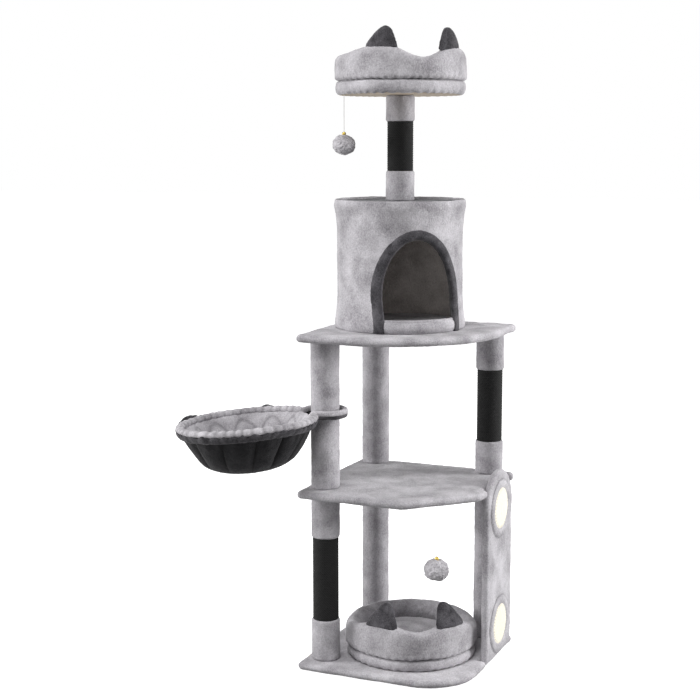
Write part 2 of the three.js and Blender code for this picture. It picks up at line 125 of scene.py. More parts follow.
def stretched(tree, where, scale):
    return add_node(tree, "Mapping", {"Vector": where, "Scale": scale}).outputs[0]


def split(tree, vector):
    return add_node(tree, "SeparateXYZ", {"Vector": vector}).outputs


def wave_bands(tree, where, scale, distortion):
    inputs = {"Vector": where, "Scale": scale, "Distortion": distortion}
    return add_node(tree, "TexWave", inputs, bands_direction="DIAGONAL").outputs["Fac"]


# Reads the seam attribute: dark seams and stitches, and painted shade in creases, folds and hollows.
def seam_and_painted_shade(tree):
    return add_node(tree, "Attribute", attribute_name="seam").outputs["Fac"]


def noise(tree, where, size, detail=2.0, rough=0.5, distort=0.0):
    """Noise whose features are about `size` millimetres across."""
    inputs = {"Vector": where, "Scale": 1 / (size * MM), "Detail": detail, "Roughness": rough}
    return add_node(tree, "TexNoise", {**inputs, "Distortion": distort}).outputs["Fac"]


def ramp(tree, factor, *stops):
    node = add_node(tree, "ValToRGB", {"Fac": factor})
    elements = node.color_ramp.elements
    while len(elements) < len(stops):
        elements.new(0.5)
    for element, (place, colour) in zip(elements, stops):
        element.position = place
        element.color = (*colour, 1)
    return node.outputs["Color"]


def blended(tree, share, first, second):
    """Two colours blended, the second by this share."""
    node = add_node(tree, "Mix", data_type="RGBA")
    for socket, value in (("Factor_Float", share), ("A_Color", first), ("B_Color", second)):
        target = next(i for i in node.inputs if i.identifier == socket)
        if isinstance(value, bpy.types.NodeSocket):
            tree.links.new(value, target)
        else:
            target.default_value = (*value, 1) if isinstance(value, tuple) else value
    return next(o for o in node.outputs if o.identifier == "Result_Color")


def bump(tree, height, depth, strength, below=None):
    """A bump `depth` millimetres deep, on top of another's normal if that is given."""
    inputs = {"Height": height, "Distance": depth * MM, "Strength": strength}
    if below is not None:
        inputs["Normal"] = below
    return add_node(tree, "Bump", inputs).outputs["Normal"]


def plush(name, deep, tip, patch=62.0, contrast=1.4, tuft=3.6, sheen=0.25):
    """Short-pile plush: broad brushed patches, tufts, and fibres along the nap. It darkens along seams, and
    where painted shade is marked in creases and hollows.
    """
    material, tree, where = new_material(name)
    nap = stretched(tree, where, (1.0, 1.0, 0.8))
    patches = noise(tree, where, patch, 3.0, 0.5, 0.25)
    tufts = noise(tree, nap, tuft, 3.0, 0.6)
    fibres = noise(tree, nap, 1.5, 2.0, 0.7)
    brushed = scaled(tree, patches, contrast, 0.5 - 0.5 * contrast)
    tufted = math_node(tree, "ADD", brushed, scaled(tree, tufts, 0.8, -0.4))
    haired = math_node(tree, "ADD", tufted, scaled(tree, fibres, 0.9, -0.45))
    colour = ramp(tree, haired, (0.18, deep), (0.82, tip))
    # Blends towards a dark tone along seams, and with painted shade in creases and hollows.
    with_seams_and_painted_shade = blended(tree, seam_and_painted_shade(tree), colour, tuple(c * 0.24 for c in deep))
    tufting = bump(tree, tufts, 1.4, 0.7, bump(tree, patches, 5.0, 0.35))
    constants = {"Sheen Weight": sheen, "Sheen Roughness": 0.45, "Specular IOR Level": 0.12}
    raised = bump(tree, fibres, 0.9, 0.7, tufting)
    return finished(material, with_seams_and_painted_shade, scaled(tree, fibres, 0.25, 0.75), raised, constants)


def felt(name, deep, tip):
    """Thin non-woven backing: short crossing fibres pressed flat."""
    material, tree, where = new_material(name)
    layers = [noise(tree, stretched(tree, where, scale), 0.9) for scale in ((1.0, 0.2, 1.0), (0.2, 1.0, 1.0))]
    half = scaled(tree, math_node(tree, "ADD", *layers), 0.5)
    colour = ramp(tree, half, (0.3, deep), (0.7, tip))
    return finished(material, colour, scaled(tree, half, 0.2, 0.75), bump(tree, half, 0.4, 0.5))


def sisal_rope(name, deep, tip, strands):
    """Twisted rope wound round a post: strands that slant across each turn, and loose fibres on them."""
    material, tree, where = new_material(name)
    round_axis = split(tree, add_node(tree, "TexCoord").outputs["Generated"])
    sideways, forwards = (math_node(tree, "SUBTRACT", round_axis[axis], 0.5) for axis in "XY")
    angle = math_node(tree, "ARCTAN2", forwards, sideways)
    slant = scaled(tree, split(tree, where)["Z"], 2 * math.pi / (6.5 * MM), scaled(tree, angle, strands))
    twist = scaled(tree, math_node(tree, "SINE", slant), 0.5, 0.5)
    fibres = noise(tree, stretched(tree, where, (0.5, 0.5, 1.6)), 1.6, 3.0, 0.65)
    colour = ramp(tree, weighed(tree, twist, 0.35, fibres), (0.25, deep), (0.8, tip))
    worn = blended(tree, scaled(tree, noise(tree, where, 26.0, 2.0), 0.5), colour, deep)
    raised = bump(tree, fibres, 0.5, 0.6, bump(tree, twist, 0.7, 0.8))
    return finished(material, worn, scaled(tree, fibres, 0.3, 0.65), raised, {"Specular IOR Level": 0.2})


def woven(name, deep, tip, pitch):
    """Plain weave of coarse upright and level threads, with uneven thread thickness."""
    material, tree, where = new_material(name)
    parts = split(tree, where)
    turn = math.pi / (pitch * MM)
    threads = [math_node(tree, "SINE", scaled(tree, parts[axis], turn)) for axis in "YZ"]
    weave = math_node(tree, "ABSOLUTE", math_node(tree, "MULTIPLY", *threads))
    slubs = noise(tree, where, 7.0, 3.0, 0.6)
    fibres = noise(tree, where, 0.9, 2.0)
    colour = ramp(tree, weighed(tree, weave, 0.4, slubs), (0.15, deep), (0.75, tip))
    with_seams_and_painted_shade = blended(tree, seam_and_painted_shade(tree), colour, tuple(c * 0.3 for c in deep))
    raised = bump(tree, fibres, 0.3, 0.5, bump(tree, weave, 0.9, 0.8))
    return finished(material, with_seams_and_painted_shade, scaled(tree, fibres, 0.25, 0.7), raised)


def wood_chip(name):
    """Particle board: pressed chips of several browns."""
    material, tree, where = new_material(name)
    chips = add_node(tree, "TexVoronoi", {"Vector": where, "Scale": 220.0}).outputs["Color"]
    grain = noise(tree, where, 2.0, 3.0)
    mixed = weighed(tree, grain, 0.4, split(tree, chips)["X"])
    colours = ((0.1, (0.30, 0.19, 0.10)), (0.5, (0.47, 0.33, 0.18)), (0.9, (0.60, 0.46, 0.28)))
    colour = ramp(tree, mixed, *colours)
    return finished(material, colour, scaled(tree, grain, 0.25, 0.6), bump(tree, mixed, 0.4, 0.5))


def cardboard(name):
    """Wound kraft tube: paper fibres and the faint spiral of its plies."""
    material, tree, where = new_material(name)
    fibres = noise(tree, where, 1.1, 3.0, 0.6)
    mixed = weighed(tree, wave_bands(tree, where, 6.0, 0.6), 0.25, fibres)
    colour = ramp(tree, mixed, (0.2, (0.27, 0.17, 0.09)), (0.8, (0.42, 0.29, 0.17)))
    return finished(material, colour, scaled(tree, fibres, 0.2, 0.7), bump(tree, fibres, 0.2, 0.5))


def metal(name, dull, bright, rough):
    """Plated metal: fine scratches and slightly uneven plating."""
    material, tree, where = new_material(name)
    scratches = noise(tree, stretched(tree, where, (1.0, 1.0, 0.08)), 0.25, 2.0)
    colour = ramp(tree, noise(tree, where, 3.0, 3.0), (0.3, dull), (0.7, bright))
    raised = bump(tree, scratches, 0.05, 0.3)
    return finished(material, colour, scaled(tree, scratches, 0.2, rough), raised, {"Metallic": 1.0})


def twisted_string(name):
    """Thin white cotton string."""
    material, tree, where = new_material(name)
    fibres = noise(tree, where, 0.4, 2.0)
    mixed = weighed(tree, wave_bands(tree, where, 260.0, 1.0), 0.5, fibres)
    colour = ramp(tree, mixed, (0.1, (0.34, 0.33, 0.31)), (0.7, (0.60, 0.58, 0.54)))
    return finished(material, colour, scaled(tree, fibres, 0.2, 0.7), bump(tree, mixed, 0.15, 0.6))


LIGHT = plush("light_plush", (0.225, 0.214, 0.230), (0.545, 0.529, 0.556), contrast=1.2)
LINING = plush("condo_lining", (0.40, 0.37, 0.35), (0.78, 0.73, 0.70), patch=70.0, contrast=1.3)
DARK = plush("dark_plush", (0.022, 0.021, 0.024), (0.105, 0.100, 0.110), patch=30.0, tuft=3.2, sheen=0.1)
BLACK = plush("dark_satin_plush", (0.003, 0.003, 0.004), (0.022, 0.021, 0.023), 40.0, tuft=3.0, sheen=0.05)
ROOF = plush("roof_cloth", (0.15, 0.15, 0.16), (0.29, 0.29, 0.305), patch=40.0, tuft=3.0, sheen=0.1)
FELT = felt("beige_felt", (0.36, 0.29, 0.21), (0.55, 0.46, 0.36))
BLACK_ROPE = sisal_rope("black_rope", (0.003, 0.003, 0.003), (0.020, 0.020, 0.020), 34)
CREAM = woven("cream_sisal", (0.74, 0.67, 0.52), (0.95, 0.92, 0.81), 3.4)
CHIPBOARD = wood_chip("chipboard")
CARD = cardboard("cardboard")
STEEL = metal("zinc_steel", (0.42, 0.42, 0.43), (0.62, 0.62, 0.63), 0.3)
BRASS = metal("brass", (0.62, 0.44, 0.10), (0.86, 0.66, 0.20), 0.18)
STRING = twisted_string("cotton_string")

CAD_FINISHES = {"board": CHIPBOARD, "tube": CARD, "bolt": STEEL, "stud": STEEL, "hoop": STEEL}
for node_name, node_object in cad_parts.items():
    for ending, finish in CAD_FINISHES.items():
        if ending in node_name:
            for material_slot in node_object.material_slots:
                material_slot.material = finish


# ---- Meshes

def unit(vector):
    return vector / np.linalg.norm(vector)


def circle(count):
    """Directions evenly round a circle, in radians."""
    return np.linspace(0, 2 * math.pi, count, endpoint=False)


def wrapped(angle):
    return (angle + math.pi) % (2 * math.pi) - math.pi


def rings(centre, radius, turns, height):
    """Points at these radii, directions and heights round a centre in plan."""
    sides = (centre[0] + radius * np.cos(turns), centre[1] + radius * np.sin(turns), height)
    return np.stack(np.broadcast_arrays(*sides), -1)


def add_object(name, data):
    added = bpy.data.objects.new(name, data)
    scene.collection.objects.link(added)
    return added


def hashed(cells, seed):
    """A number from 0 to 1 for each whole-number point."""
    x, y, z = (cells[..., axis].astype(np.uint32) for axis in range(3))
    mixed = x * np.uint32(374761393) + y * np.uint32(668265263) + z * np.uint32(2246822519)
    mixed = mixed + np.uint32(seed * 7919)
    mixed = (mixed ^ (mixed >> np.uint32(13))) * np.uint32(1274126177)
    mixed = (mixed ^ (mixed >> np.uint32(16))) * np.uint32(2654435761)
    return (mixed ^ (mixed >> np.uint32(15))).astype(float) / 4294967295


TILT = np.array([[0.79, 0.51, -0.34], [-0.37, 0.84, 0.40], [0.49, -0.19, 0.85]])


def wander(points, cell, seed):
    """Smooth noise from -1 to 1 at each point, changing over about `cell` millimetres."""
    places = points @ TILT.T / cell
    lower = np.floor(places)
    share = places - lower
    share = share * share * (3 - 2 * share)
    total = np.zeros(len(points))
    for corner in itertools.product((0, 1), repeat=3):
        weights = np.where(corner, share, 1 - share).prod(axis=1)
        total += weights * hashed(lower.astype(np.int64) + corner, seed)
    return total * 2 - 1


def loops(rows, columns, joined=False):
    """Quads over a grid of points whose columns close on themselves, and whose rows do too if joined."""
    row = np.arange(rows if joined else rows - 1)[:, None]
    column = np.arange(columns)[None, :]
    after, below = (column + 1) % columns, (row + 1) % rows
    here, under = row * columns, below * columns
    return np.stack((here + column, here + after, under + after, under + column), -1).reshape(-1, 4).tolist()


def capped(rows, columns):
    """The faces of a tube of rings, each end closed by one face."""
    last = (rows - 1) * columns
    ends = [list(range(columns))[::-1], list(range(last, last + columns))]
    return loops(rows, columns) + ends


def make(name, points, faces, *materials):
    """A smooth closed mesh with its normals outwards, on no body yet."""
    mesh = bpy.data.meshes.new(name)
    mesh.from_pydata((np.asarray(points).reshape(-1, 3) * MM).tolist(), [], faces)
    tidy = bmesh.new()
    tidy.from_mesh(mesh)
    bmesh.ops.recalc_face_normals(tidy, faces=tidy.faces)
    tidy.to_mesh(mesh)
    tidy.free()
    mesh.shade_smooth()
    for material in materials:
        mesh.materials.append(material)
    return add_object(name, mesh)


def read(parts, key):
    """A vector from each vertex, normal or face."""
    flat = np.empty(len(parts) * 3, np.float32)
    parts.foreach_get(key, flat)
    return flat.reshape(-1, 3).astype(float)


def points_of(piece):
    return read(piece.data.vertices, "co") / MM


def normals_of(piece):
    return read(piece.data.vertex_normals, "vector")


def put(piece, points):
    piece.data.vertices.foreach_set("co", (points * MM).astype(np.float32).ravel())
    piece.data.update()


def bake(piece):
    """Applies the piece's modifiers."""
    graph = bpy.context.evaluated_depsgraph_get()
    mesh = bpy.data.meshes.new_from_object(piece.evaluated_get(graph))
    piece.modifiers.clear()
    piece.data = mesh
    mesh.shade_smooth()


def modify(piece, kind, **settings):
    """Applies one modifier with these settings."""
    modifier = piece.modifiers.new(kind.lower(), kind)
    for key, value in settings.items():
        setattr(modifier, key, value)
    bake(piece)


def remesh(piece, voxel=VOXEL):
    modify(piece, "REMESH", mode="VOXEL", voxel_size=voxel * MM)


def smooth(piece, times):
    modify(piece, "SMOOTH", factor=0.5, iterations=times)


def mark_seam_and_painted_shade(piece, shade):
    """Adds to the piece's seam attribute, which darkens its plush: dark seams and stitches, and painted shade
    in creases, folds and hollows.
    """
    attribute = piece.data.attributes.get("seam") or piece.data.attributes.new("seam", "FLOAT", "POINT")
    values = np.empty(len(piece.data.vertices), np.float32)
    attribute.data.foreach_get("value", values)
    attribute.data.foreach_set("value", np.clip(values + shade, 0, 1).astype(np.float32))


def groove(piece, distance, width, depth, shade=0.7):
    """Presses a seam into the piece where distance, one number for each point, is near zero."""
    near = np.exp(-((distance / width) ** 2))
    put(piece, points_of(piece) - normals_of(piece) * (near * depth)[:, None])
    mark_seam_and_painted_shade(piece, near * shade)


def pile(piece, seed, depth=0.9, swell=1.0, where=None):
    """Stands the surface up in tufts on broad, soft swells. `where` is the share of it at each point."""
    points = points_of(piece)
    height = depth * (0.45 * wander(points, 4.0, seed) + 0.3 * wander(points, 11.0, seed + 1))
    height += swell * wander(points, 48.0, seed + 2)
    if where is not None:
        height = height * where
    put(piece, points + normals_of(piece) * height[:, None])


def place(piece, body, slot, *nodes):
    """Rides the piece on its body and hides the CAD nodes that it stands for. The slot is not used."""
    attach(piece, body)
    if nodes:
        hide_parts(*nodes)
    return piece


def turned(name, profile, columns, centre, *materials):
    """A ring swept by a closed profile of [radius, height]."""
    radius, height = np.array(profile, float).T
    points = rings(centre, radius[:, None], circle(columns), height[:, None])
    return make(name, points, loops(len(radius), columns, joined=True), *materials)


def curve_through(points, count, closed=True):
    """Points evenly along a smooth curve through these."""
    points = np.array(points, float)
    ends = [points[-1:], points, points[:2]] if closed else [points[:1], points, points[-1:]]
    padded = np.concatenate(ends)
    fine = []
    share = np.linspace(0, 1, 12, endpoint=False)[:, None]
    for a, b, c, d in zip(padded, padded[1:], padded[2:], padded[3:]):
        fine.append(0.5 * (2 * b + (c - a) * share + (2 * a - 5 * b + 4 * c - d) * share**2
                           + (3 * b - a - 3 * c + d) * share**3))
    fine = np.concatenate([*fine, points[:1] if closed else points[-1:]])
    along = np.concatenate([[0], np.cumsum(np.linalg.norm(np.diff(fine, axis=0), axis=1))])
    wanted = np.linspace(0, along[-1], count, endpoint=not closed)
    return np.stack([np.interp(wanted, along, fine[:, axis]) for axis in range(fine.shape[1])], 1)


def distance_to_line(points, line, closed=True):
    """How far each point is from a polyline, in as many dimensions as both have."""
    starts = np.array(line, float)
    ends = np.roll(starts, -1, axis=0) if closed else starts[1:]
    nearest = np.full(len(points), np.inf)
    for start, end in zip(starts, ends):
        along = end - start
        share = np.clip((points - start) @ along / max(along @ along, 1e-9), 0, 1)
        nearest = np.minimum(nearest, np.linalg.norm(points - start - share[:, None] * along, axis=1))
    return nearest


# ---- Shelves

def rounded(corners):
    """The outline through corners [x, y, radius], counter-clockwise, each rounded off."""
    outline = []
    for index, (x, y, radius) in enumerate(corners):
        here = np.array([x, y], float)
        before = np.array(corners[index - 1][:2], float)
        after = np.array(corners[(index + 1) % len(corners)][:2], float)
        arrive, leave = unit(here - before), unit(after - here)
        turn = math.atan2(arrive[0] * leave[1] - arrive[1] * leave[0], arrive @ leave)
        start = here - arrive * radius * math.tan(abs(turn) / 2)
        inward = np.array([-arrive[1], arrive[0]]) * math.copysign(1, turn)
        centre = start + inward * radius
        steps = max(2, math.ceil(abs(turn) * radius / 4))
        for angle in np.linspace(0, turn, steps + 1):
            cos, sin = math.cos(angle), math.sin(angle)
            x_off, y_off = start - centre
            outline.append(centre + [x_off * cos - y_off * sin, x_off * sin + y_off * cos])
    return np.array(outline)


def slab(name, outline, low, high, edge, *materials):
    """A padded plate between two heights, with its rim rounded to a radius of `edge`."""
    count = len(outline)
    faces = [np.column_stack([outline, np.full(count, height)]) for height in (low, high)]
    piece = make(name, np.concatenate(faces), capped(2, count), *materials)
    remesh(piece)
    points = points_of(piece)
    inset = distance_to_line(points[:, :2], outline)
    middle, half = (low + high) / 2, (high - low) / 2
    short = np.clip(edge - inset, 0, edge)
    limit = half - edge + np.sqrt(edge * edge - short * short)
    points[:, 2] = middle + np.clip(points[:, 2] - middle, -limit, limit)
    put(piece, points)
    smooth(piece, 3)
    return piece


HALF_WIDTH, HALF_DEPTH = 225, 221
PANEL_LOW, PANEL_HIGH = span("scratch_panel")
FRONT_LEFT = centre_of("lower_front_left_tube")
BACK_LEFT = centre_of("lower_back_left_tube")
BACK_RIGHT = centre_of("lower_back_right_tube")
POSTS = (FRONT_LEFT, BACK_LEFT, BACK_RIGHT)
CONDO = centre_of("top_post_tube")
NOTCH = [
    [HALF_WIDTH, PANEL_LOW[1] - GAP, 4], [PANEL_LOW[0] - GAP, PANEL_LOW[1] - GAP, 2],
    [PANEL_LOW[0] - GAP, PANEL_HIGH[1] + GAP, 2], [HALF_WIDTH, PANEL_HIGH[1] + GAP, 4],
]
BACK_CORNERS = [[HALF_WIDTH, HALF_DEPTH, 20], [-HALF_WIDTH, HALF_DEPTH, 20]]
FRONT_CORNER = [-HALF_WIDTH, -HALF_DEPTH, 16]
OUTLINES = {
    "base": [FRONT_CORNER, [HALF_WIDTH, -HALF_DEPTH, 138], *NOTCH, *BACK_CORNERS],
    "middle": [FRONT_CORNER, [71, -HALF_DEPTH, 30], [HALF_WIDTH, -59, 30], *NOTCH, *BACK_CORNERS],
    "upper": [FRONT_CORNER, [HALF_WIDTH, -HALF_DEPTH, 300], *BACK_CORNERS],
}


def add_shelf(name, seed):
    low, high = span(name + "_cover")
    cover = slab(name + "_shelf_cover", rounded(OUTLINES[name]), low[2] + 0.4, high[2] - 0.4, 9.0, LIGHT)
    points = points_of(cover)
    inset = distance_to_line(points[:, :2], rounded(OUTLINES[name]))
    top = points[:, 2] > high[2] - 4
    posts = np.min([np.linalg.norm(points[:, :2] - at, axis=1) for at in POSTS], axis=0)
    flat_parts = np.clip((inset - 4) / 20, 0, 1)
    sag = -1.2 * top * np.exp(-(((posts - 44) / 12) ** 2)) + 0.8 * top * flat_parts
    points[:, 2] += sag
    put(cover, points)
    pile(cover, seed, depth=0.9, swell=0.9)
    hem = np.where(points[:, 2] < low[2] + 5, inset - 16, 60)
    groove(cover, hem, 1.8, 1.0, 0.5)
    points = points_of(cover)
    points[:, 2] = np.maximum(points[:, 2], low[2] + GAP)
    put(cover, points)
    place(cover, "stand", "light_plush", name + "_cover")


for shelf_seed, shelf_name in enumerate(OUTLINES):
    add_shelf(shelf_name, 10 * shelf_seed + 3)


# ---- Posts

SLEEVE_BORE = 30.6
PLUSH_RADIUS = 37.5
ROPE_RADIUS = 33.8
ROPE_PITCH = 4.6
SEAM_AZIMUTH = math.radians(118)


def add_sleeve(node, seed):
    """A plush sleeve, rolled in a little at its ends, with its sewn seam down the back."""
    low, high = span(node)
    centre, bottom, top = (low[:2] + high[:2]) / 2, low[2], high[2]
    heights = np.linspace(bottom, top, max(8, round((top - bottom) / 3.2)))
    from_end = np.minimum(heights - bottom, top - heights)
    radius = PLUSH_RADIUS - 0.4 - 2.6 * np.clip(1 - from_end / 4.5, 0, 1) ** 2
    profile = [[r, z] for r, z in zip(radius, heights)] + [[SLEEVE_BORE, top], [SLEEVE_BORE, bottom]]
    sleeve = turned(node.replace("_sleeve", "_plush"), profile, 80, centre, LIGHT)
    points = points_of(sleeve)
    off = points[:, :2] - centre
    outside = np.linalg.norm(off, axis=1) > SLEEVE_BORE + 1.5
    pile(sleeve, seed, depth=0.9, swell=0.7, where=outside)
    around = wrapped(np.arctan2(off[:, 1], off[:, 0]) - SEAM_AZIMUTH)
    distance = np.where(outside, around * PLUSH_RADIUS, 99)
    groove(sleeve, distance + 1.5 * wander(points, 40.0, seed + 5), 1.7, 1.6, 0.6)
    place(sleeve, "stand", "light_plush", node)


def add_rope(node):
    """Rope wound round the post in one helix, each turn a rounded ridge."""
    low, high = span(node)
    centre, bottom, top = (low[:2] + high[:2]) / 2, low[2], high[2]
    rows, columns = max(12, round((top - bottom) / ROPE_PITCH * 7)), 72
    heights = np.linspace(bottom, top, rows)[:, None]
    turns = circle(columns)
    along = (heights - bottom) / ROPE_PITCH - turns / (2 * math.pi)
    ridge = np.sqrt(np.clip(1 - (2 * (along % 1) - 1) ** 2, 0, 1))
    wound = rings(centre, ROPE_RADIUS - 1.7 + 1.7 * ridge, turns, heights)
    bore = rings(centre, SLEEVE_BORE, turns, np.array([[top], [bottom]]))
    points = np.concatenate([wound, bore])
    rope = make(node + "_winding", points, loops(rows + 2, columns, joined=True), BLACK_ROPE)
    place(rope, "stand", "black_rope", node)


for post_seed, post_node in enumerate(sorted(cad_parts)):
    if post_node.endswith("_sleeve"):
        add_sleeve(post_node, 100 + 7 * post_seed)
    elif post_node.endswith("_rope"):
        add_rope(post_node)


# ---- Condo

SHELF_TOP = span("upper_cover")[1][2]
CONDO_TOP = span("condo_wall")[1][2]
ROOF_LOW, ROOF_HIGH = span("condo_roof")
WALL_BORE = 154
WALL = [
    [169.5, SHELF_TOP + GAP], [171, 897], [167, 925], [164, 970], [163.5, 1050], [164, 1140], [167, 1178],
    [171.5, 1203], [170.5, 1214],
]
DOOR_AXIS = np.array([math.cos(math.radians(-47.5)), math.sin(math.radians(-47.5))])
DOOR_SIDE = np.array([-DOOR_AXIS[1], DOOR_AXIS[0]])
DOOR_HALF_WIDTH, DOOR_SILL, DOOR_SPRING, DOOR_TOP, DOOR_LEAN = 99, 919, 965, 1127, -13


def wall_radius(height):
    radius, heights = np.array(WALL).T
    return np.interp(height, heights, radius)


def doorway(foot, grow=0.0, step=6.0):
    """The doorway's outline as points across and up: jambs under half an ellipse, all leaning over."""
    half = DOOR_HALF_WIDTH + grow
    rise = DOOR_TOP - DOOR_SPRING + grow
    jamb = np.arange(foot, DOOR_SPRING, step)
    arch = np.linspace(0, math.pi, round(math.pi * half / step))
    right = np.column_stack([np.full(len(jamb), half), jamb])
    over = np.column_stack([half * np.cos(arch), DOOR_SPRING + rise * np.sin(arch)])
    outline = np.concatenate([right, over, (right * [-1, 1])[::-1]])
    outline[:, 0] += DOOR_LEAN * np.clip((outline[:, 1] - DOOR_SILL) / (DOOR_TOP - DOOR_SILL), 0, None)
    return outline


def on_wall(across, radius, height):
    """The point on a cylinder round the condo's axis that lies this far across the doorway."""
    deep = np.sqrt(np.maximum(radius**2 - across**2, 0))
    plan = CONDO + deep[..., None] * DOOR_AXIS + across[..., None] * DOOR_SIDE
    return np.concatenate([plan, np.broadcast_to(height, across.shape)[..., None]], -1)


def add_wall():
    lip = [[168.5, CONDO_TOP - 1], [166, CONDO_TOP], [164.6, CONDO_TOP - 4], [164.6, ROOF_LOW[2] - GAP]]
    bore = [[WALL_BORE, ROOF_LOW[2] - GAP], [WALL_BORE, SHELF_TOP + GAP]]
    wall = turned("condo_plush_wall", [*WALL, *lip, *bore], 160, CONDO, LIGHT, LINING)
    plug = doorway(DOOR_SILL)
    inner = CONDO + plug[:, :1] * DOOR_SIDE
    outer = inner + 210 * DOOR_AXIS
    ends = [np.column_stack([end, plug[:, 1]]) for end in (inner, outer)]
    cutter = make("doorway_cutter", np.concatenate(ends), capped(2, len(plug)))
    modify(wall, "BOOLEAN", operation="DIFFERENCE", solver="EXACT", object=cutter)
    bpy.data.objects.remove(cutter)
    remesh(wall, 3.0)
    smooth(wall, 2)
    points = points_of(wall)
    off = points[:, :2] - CONDO
    radius = np.linalg.norm(off, axis=1)
    outside = np.clip((radius - WALL_BORE - 3) / 4, 0.25, 1)
    pile(wall, 301, depth=1.0, swell=1.4, where=outside)
    folded = np.exp(-(((points[:, 2] - CONDO_TOP + 20) / 10) ** 2)) * outside
    put(wall, points_of(wall) + np.column_stack([off / radius[:, None], np.zeros(len(radius))])
        * (folded * 1.1 * wander(points, 17.0, 311))[:, None])
    around = wrapped(np.arctan2(off[:, 1], off[:, 0]) - math.radians(105))
    groove(wall, np.where(radius > WALL_BORE + 5, around * 168, 99), 1.8, 1.6, 0.6)
    faces = wall.data.polygons
    middles, normals = read(faces, "center") / MM, read(faces, "normal")
    out = middles[:, :2] - CONDO
    facing = (out * normals[:, :2]).sum(axis=1) / np.linalg.norm(out, axis=1)
    within = (np.linalg.norm(out, axis=1) < WALL_BORE + 2.5) & (facing < -0.3) & (middles[:, 2] < ROOF_LOW[2])
    faces.foreach_set("material_index", within.astype(np.int32))
    place(wall, "stand", "light_plush", "condo_wall")


def add_trim():
    """A padded band that wraps the doorway's edge, from the shelf up one side and down the other."""
    foot = SHELF_TOP + 1.0
    path = doorway(foot, step=3.2)
    ahead = np.gradient(path, axis=0)
    outwards = np.column_stack([ahead[:, 1], -ahead[:, 0]]) / np.linalg.norm(ahead, axis=1)[:, None]
    section = curve_through([
        [19, 0.5], [14, 4.6], [6, 6.6], [-1, 5.2], [-5.5, 0], [-6, -7], [-4, -15], [3, -18.5], [10, -18],
        [14, -15], [8, -12], [1, -8], [6, -2], [14, -1.5],
    ], 44)
    rows = []
    for (across, height), (side, up) in zip(path, outwards):
        wide = across + section[:, 0] * side
        high = height + section[:, 0] * up
        rows.append(on_wall(wide, wall_radius(np.clip(high, SHELF_TOP, 1200)) + section[:, 1], high))
    trim = make("doorway_trim", np.array(rows), capped(len(rows), len(section)), DARK)
    points = points_of(trim)
    points[:, 2] = np.maximum(points[:, 2], foot)
    put(trim, points)
    pile(trim, 331, depth=1.1, swell=0.8)
    place(trim, "stand", "dark_plush", "door_trim")


def add_roll(name, material, path, half_height, half_depth, seed, count=28):
    """A padded roll along points, flattened to these half measures, with round ends."""
    ahead = np.gradient(path, axis=0)
    side = np.column_stack([ahead[:, 1], -ahead[:, 0], np.zeros(len(path))])
    side /= np.linalg.norm(side, axis=1)[:, None]
    turns = circle(count)
    end = np.linspace(0, 1, len(path))
    shrink = np.sqrt(np.clip(1 - (2 * np.clip(np.abs(end - 0.5) - 0.47, 0, 1) / 0.061) ** 2, 0.05, 1))
    rows = path[:, None, :] + (shrink[:, None] * half_depth * np.cos(turns))[..., None] * side[:, None, :]
    rows[..., 2] += shrink[:, None] * half_height * np.sin(turns)
    roll = make(name, rows, capped(len(path), count), material)
    pile(roll, seed, depth=1.1, swell=1.2)
    return roll


def add_sill():
    across = np.linspace(-DOOR_HALF_WIDTH - 1, DOOR_HALF_WIDTH + 1, 70)
    path = on_wall(across, 163.0, SHELF_TOP + 16.0)
    sill = add_roll("doorway_sill", LIGHT, path, 15.5, 11.0, 341)
    place(sill, "stand", "light_plush")


def disc(name, radius, low, high, edge, centre, seed, *materials, swell=1.0, dish=0.0):
    """A soft round plate with a rounded rim, dished or crowned in the middle."""
    angles = circle(max(24, round(radius)))
    outline = centre + radius * np.column_stack([np.cos(angles), np.sin(angles)])
    plate = slab(name, outline, low, high, edge, *materials)
    points = points_of(plate)
    inset = radius - np.linalg.norm(points[:, :2] - centre, axis=1)
    upper = points[:, 2] > (low + high) / 2
    points[:, 2] += upper * dish * (1 - np.exp(-np.clip(inset, 0, None) / 25))
    put(plate, points)
    pile(plate, seed, depth=0.8, swell=swell, where=np.where(upper, 1.0, 0.2))
    return plate


add_wall()
add_trim()
add_sill()
roof_radius = ROOF_HIGH[0] - CONDO[0] - 0.6
roof = disc("roof_cloth_disc", roof_radius, ROOF_LOW[2] + 0.5, ROOF_HIGH[2], 3.5, CONDO, 351, ROOF)
place(roof, "stand", "roof_cloth", "condo_roof")
pad_low, pad_high = SHELF_TOP + 1.5, SHELF_TOP + 18
floor_pad = disc("condo_floor_pad", WALL_BORE - 2, pad_low, pad_high, 7.0, CONDO, 361, LIGHT, dish=1.5)
place(floor_pad, "stand", "light_plush")


# ---- Nests: the perch and the loose bed

PERCH = {
    "name": "perch", "body": "stand", "centre": CONDO, "bottom": 1484, "seam": 1520, "radius": 172,
    "bore": 130, "crest": 1592, "facing": -45, "dip": 18, "shoulder": 20, "crown": 10, "seed": 400,
    "ears": [("left", -42, 44, 43, -4, 1604, 0.3), ("right", 32, 45, 41, -4, 1604, -0.38)],
}
BED = {
    "name": "bed", "body": "bed", "centre": np.array([15.5, -13.0]), "bottom": 20.3, "seam": 52,
    "radius": 177, "bore": 133, "crest": 116, "facing": -61, "dip": 0, "shoulder": 33, "crown": 28,
    "seed": 500,
    "ears": [("left", -37, 46, 52, 28, 141, 0.12), ("right", 32, 46, 52, 28, 141, -0.15)],
}


def crest_height(nest, azimuth):
    """The rim's height at azimuths in degrees: a shoulder under each ear, and a dip between them."""
    def hump(centre, width):
        off = (azimuth - nest["facing"] - centre + 180) % 360 - 180
        return np.exp(-((off / width) ** 2))
    shoulders = sum(nest["shoulder"] * hump(ear[1], 29) for ear in nest["ears"])
    return nest["crest"] - nest["dip"] * hump(0, 24) + shoulders


